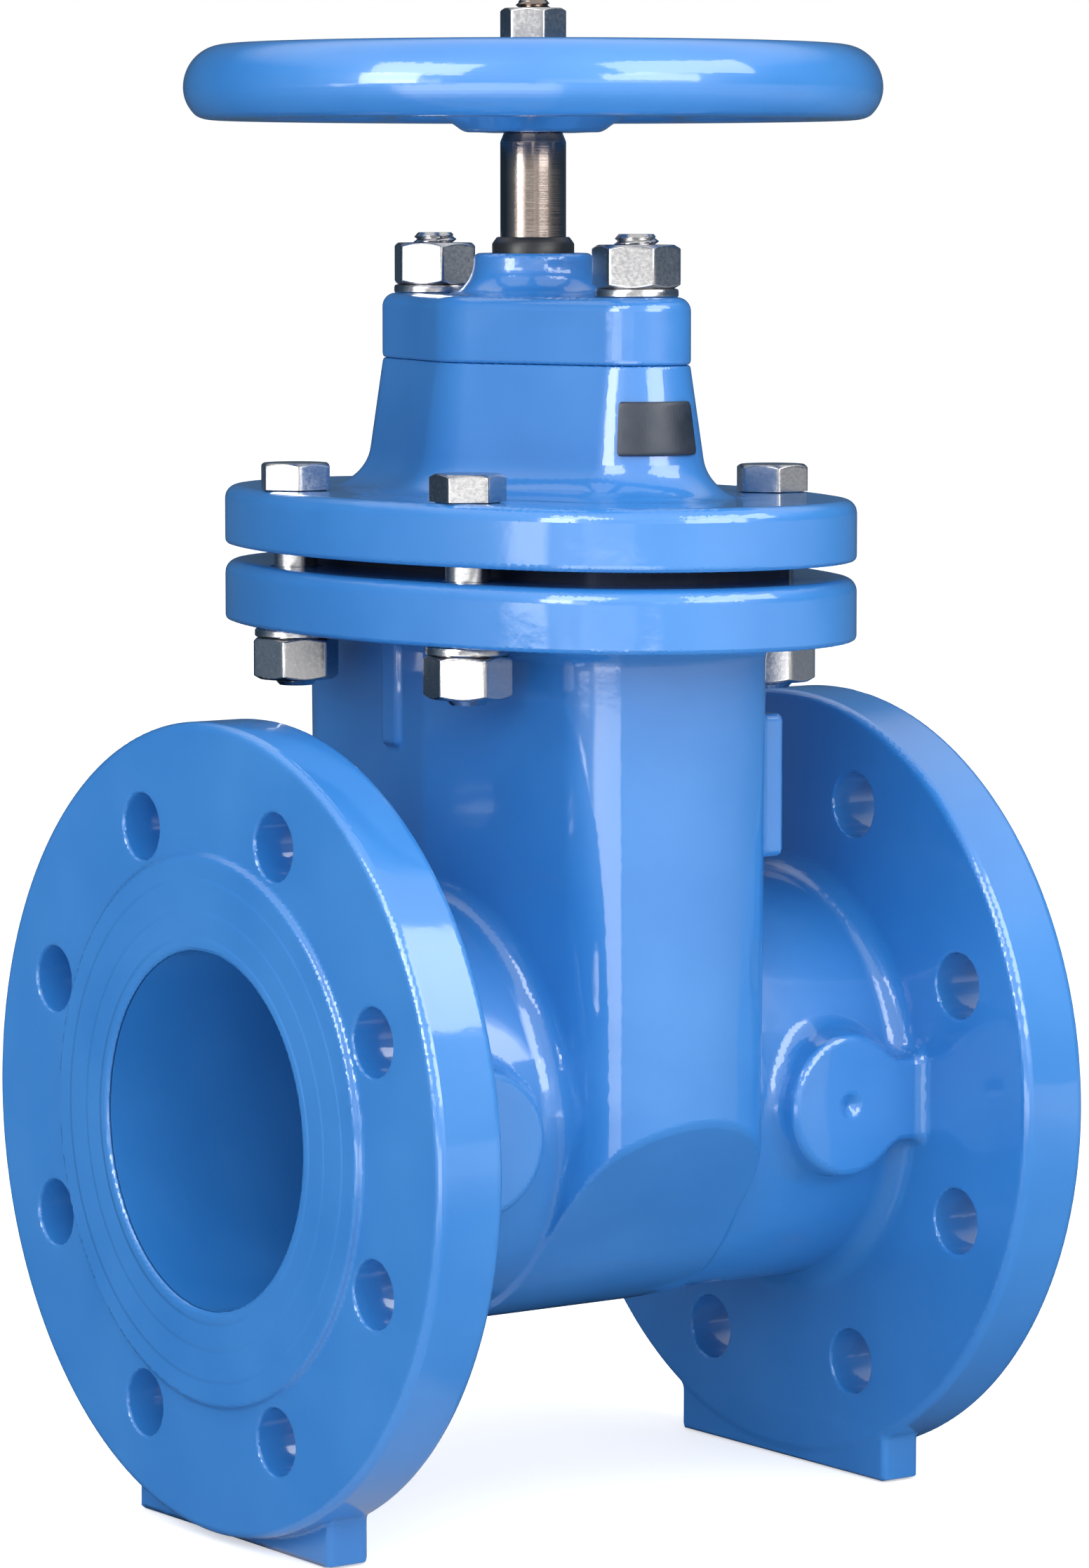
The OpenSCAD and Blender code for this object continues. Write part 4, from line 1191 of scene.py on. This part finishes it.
def by_turn(tree, where, stops):
    """A brightness that depends on the turn of a place or direction round Z, counted from
    the camera's side with plus to the right: a ramp through the stops."""
    part = make_node(tree, "ShaderNodeSeparateXYZ", Vector=where).outputs
    front = Vector((-math.sin(CAMERA_TURN), -math.cos(CAMERA_TURN)))
    right = Vector((math.cos(CAMERA_TURN), -math.sin(CAMERA_TURN)))
    sides = []
    for side in (right, front):
        x = maths(tree, "MULTIPLY", part[0], side.x)
        sides.append(maths(tree, "MULTIPLY_ADD", part[1], side.y, x))
    turn = maths(tree, "ARCTAN2", *sides)
    most = max(value for _, value in stops)
    shade = make_node(tree, "ShaderNodeValToRGB",
                      Fac=ramp(tree, turn, -math.pi, math.pi, 0, 1))
    places = shade.color_ramp.elements
    while len(places) < len(stops):
        places.new(0.5)
    for stop, (degrees, value) in zip(places, stops):
        stop.position = (degrees + 180) / 360
        stop.color = (value / most, value / most, value / most, 1)
    return maths(tree, "MULTIPLY", shade.outputs[0], most)


def cooled(tree, value):
    """The tint of a mirrored part of the room: white where it is bright, blue where dim."""
    return mixed(tree, ramp(tree, value, 0.2, 0.6, 0, 1), (0.35, 0.62, 1, 1), (1, 1, 1, 1))


def either(tree, factor, one, other):
    """One shader, or the other where the factor is 1."""
    return make_node(tree, "ShaderNodeMixShader", Fac=factor, _1=one, _2=other).outputs[0]


# %% Floor
bpy.ops.mesh.primitive_plane_add(size=40, location=(0, 0, cad_box[0].z - 0.0005))
floor = bpy.context.object
floor.name = "floor"
tree, shader, where = new_finish("floor")
path = tree.nodes.new("ShaderNodeLightPath").outputs
feed(tree, shader, Base_Color=(0.86, 0.86, 0.86, 1), Roughness=0.9, Emission_Color=(1, 1, 1, 1),
     Emission_Strength=maths(tree, "MULTIPLY", path["Is Camera Ray"], FLOOR_LIFT))
away = make_node(tree, "ShaderNodeVectorMath", {"operation": "LENGTH"}, _0=where).outputs[1]
zones = by_turn(tree, where, NEAR_TURNS)
for start, end, stops in FLOOR_ZONES:
    zones = make_node(tree, "ShaderNodeMix", {"data_type": "FLOAT"}, _2=zones,
                      _0=ramp(tree, away, start, end, 0, 1),
                      _3=by_turn(tree, where, stops)).outputs[0]
mirrored = maths(tree, "MULTIPLY", zones, ramp(tree, away, 0.4, 1.0, 0.1, 1))
seen = make_node(tree, "ShaderNodeEmission", Color=cooled(tree, zones), Strength=mirrored)
feed(tree, tree.nodes["Material Output"],
     _0=either(tree, path["Is Glossy Ray"], shader.outputs[0], seen.outputs[0]))
floor.data.materials.append(finishes["floor"])
print("floor at", round(floor.location.z, 4))

# %% World
world = bpy.data.worlds.new("room")
bpy.context.scene.world = world
world.use_nodes = True
tree = world.node_tree
tree.nodes.clear()
path = tree.nodes.new("ShaderNodeLightPath").outputs
facing = tree.nodes.new("ShaderNodeTexCoord").outputs["Generated"]
direct = maths(tree, "MAXIMUM", path["Is Camera Ray"], path["Is Transmission Ray"])
sky = make_node(tree, "ShaderNodeBackground", Color=(0.97, 0.99, 1.0, 1), Strength=ROOM_LIGHT)
height = make_node(tree, "ShaderNodeSeparateXYZ", Vector=facing).outputs[2]
room = make_node(tree, "ShaderNodeMix", {"data_type": "FLOAT"},
                 _0=ramp(tree, height, 0.45, 0.75, 0, 1), _2=by_turn(tree, facing, ROOM_TURNS),
                 _3=CEILING).outputs[0]
glossy = make_node(tree, "ShaderNodeBackground", Color=cooled(tree, room), Strength=room)
white = make_node(tree, "ShaderNodeBackground", Color=(1, 1, 1, 1), Strength=1.0)
first = either(tree, path["Is Glossy Ray"], sky.outputs[0], glossy.outputs[0])
make_node(tree, "ShaderNodeOutputWorld", _0=either(tree, direct, first, white.outputs[0]))
print("room brightness round the valve:", ROOM_TURNS)

# %% Lamps


def soft_box(name, kind, turn, height, distance, wide, tall, bright):
    """An area lamp that faces the valve, at a turn from the camera's own direction, with
    plus to the right, and at a height above the horizon, both in degrees. Bright is how
    bright its face looks. Kind is gloss, for highlights alone, or soft, for light alone."""
    a = math.pi + CAMERA_TURN - math.radians(turn)
    e = math.radians(height)
    back = Vector((math.sin(a) * math.cos(e), math.cos(a) * math.cos(e), math.sin(e)))
    data = bpy.data.lights.new(name, "AREA")
    data.shape, data.size, data.size_y = "RECTANGLE", wide, tall
    data.energy = bright * math.pi * wide * tall
    lamp = bpy.data.objects.new(name, data)
    lamp.visible_diffuse = kind == "soft"
    lamp.visible_glossy = kind == "gloss"
    lamp.location = middle + back * distance
    lamp.rotation_euler = (-back).to_track_quat("-Z", "Y").to_euler()
    bpy.context.scene.collection.objects.link(lamp)
    print(f"{name}: {kind}, {data.energy:.2f} W")


soft_box("strip_left", "gloss", -47, 14, 2.0, 0.7, 0.7, 9)
soft_box("strip_high", "gloss", -38, 36, 2.0, 1.1, 0.9, 6)
soft_box("strip_right", "gloss", 38, 16, 2.0, 1.15, 0.56, 6)
soft_box("strip_top", "gloss", 54, 38, 2.0, 1.6, 1.0, 5)
soft_box("line_left", "gloss", -40, 5.8, 2.0, 0.77, 0.36, 2.2)
soft_box("line_right", "gloss", 22, 7.8, 2.0, 1.5, 0.26, 0.8)
soft_box("key_right", "soft", 50, 30, 1.3, 0.9, 1.1, 2.6)
soft_box("fill_left", "soft", -78, 28, 1.6, 0.9, 1.1, 1.1)
soft_box("fill_front", "soft", -8, 20, 2.2, 1.2, 1.0, 4.8)
soft_box("fill_top", "soft", -10, 62, 1.5, 1.0, 1.0, 2.6)

# %% [markdown]
# ## Colour
#
# The Standard view shows each colour as it was written.

# %% View
bpy.context.scene.view_settings.view_transform = "Standard"
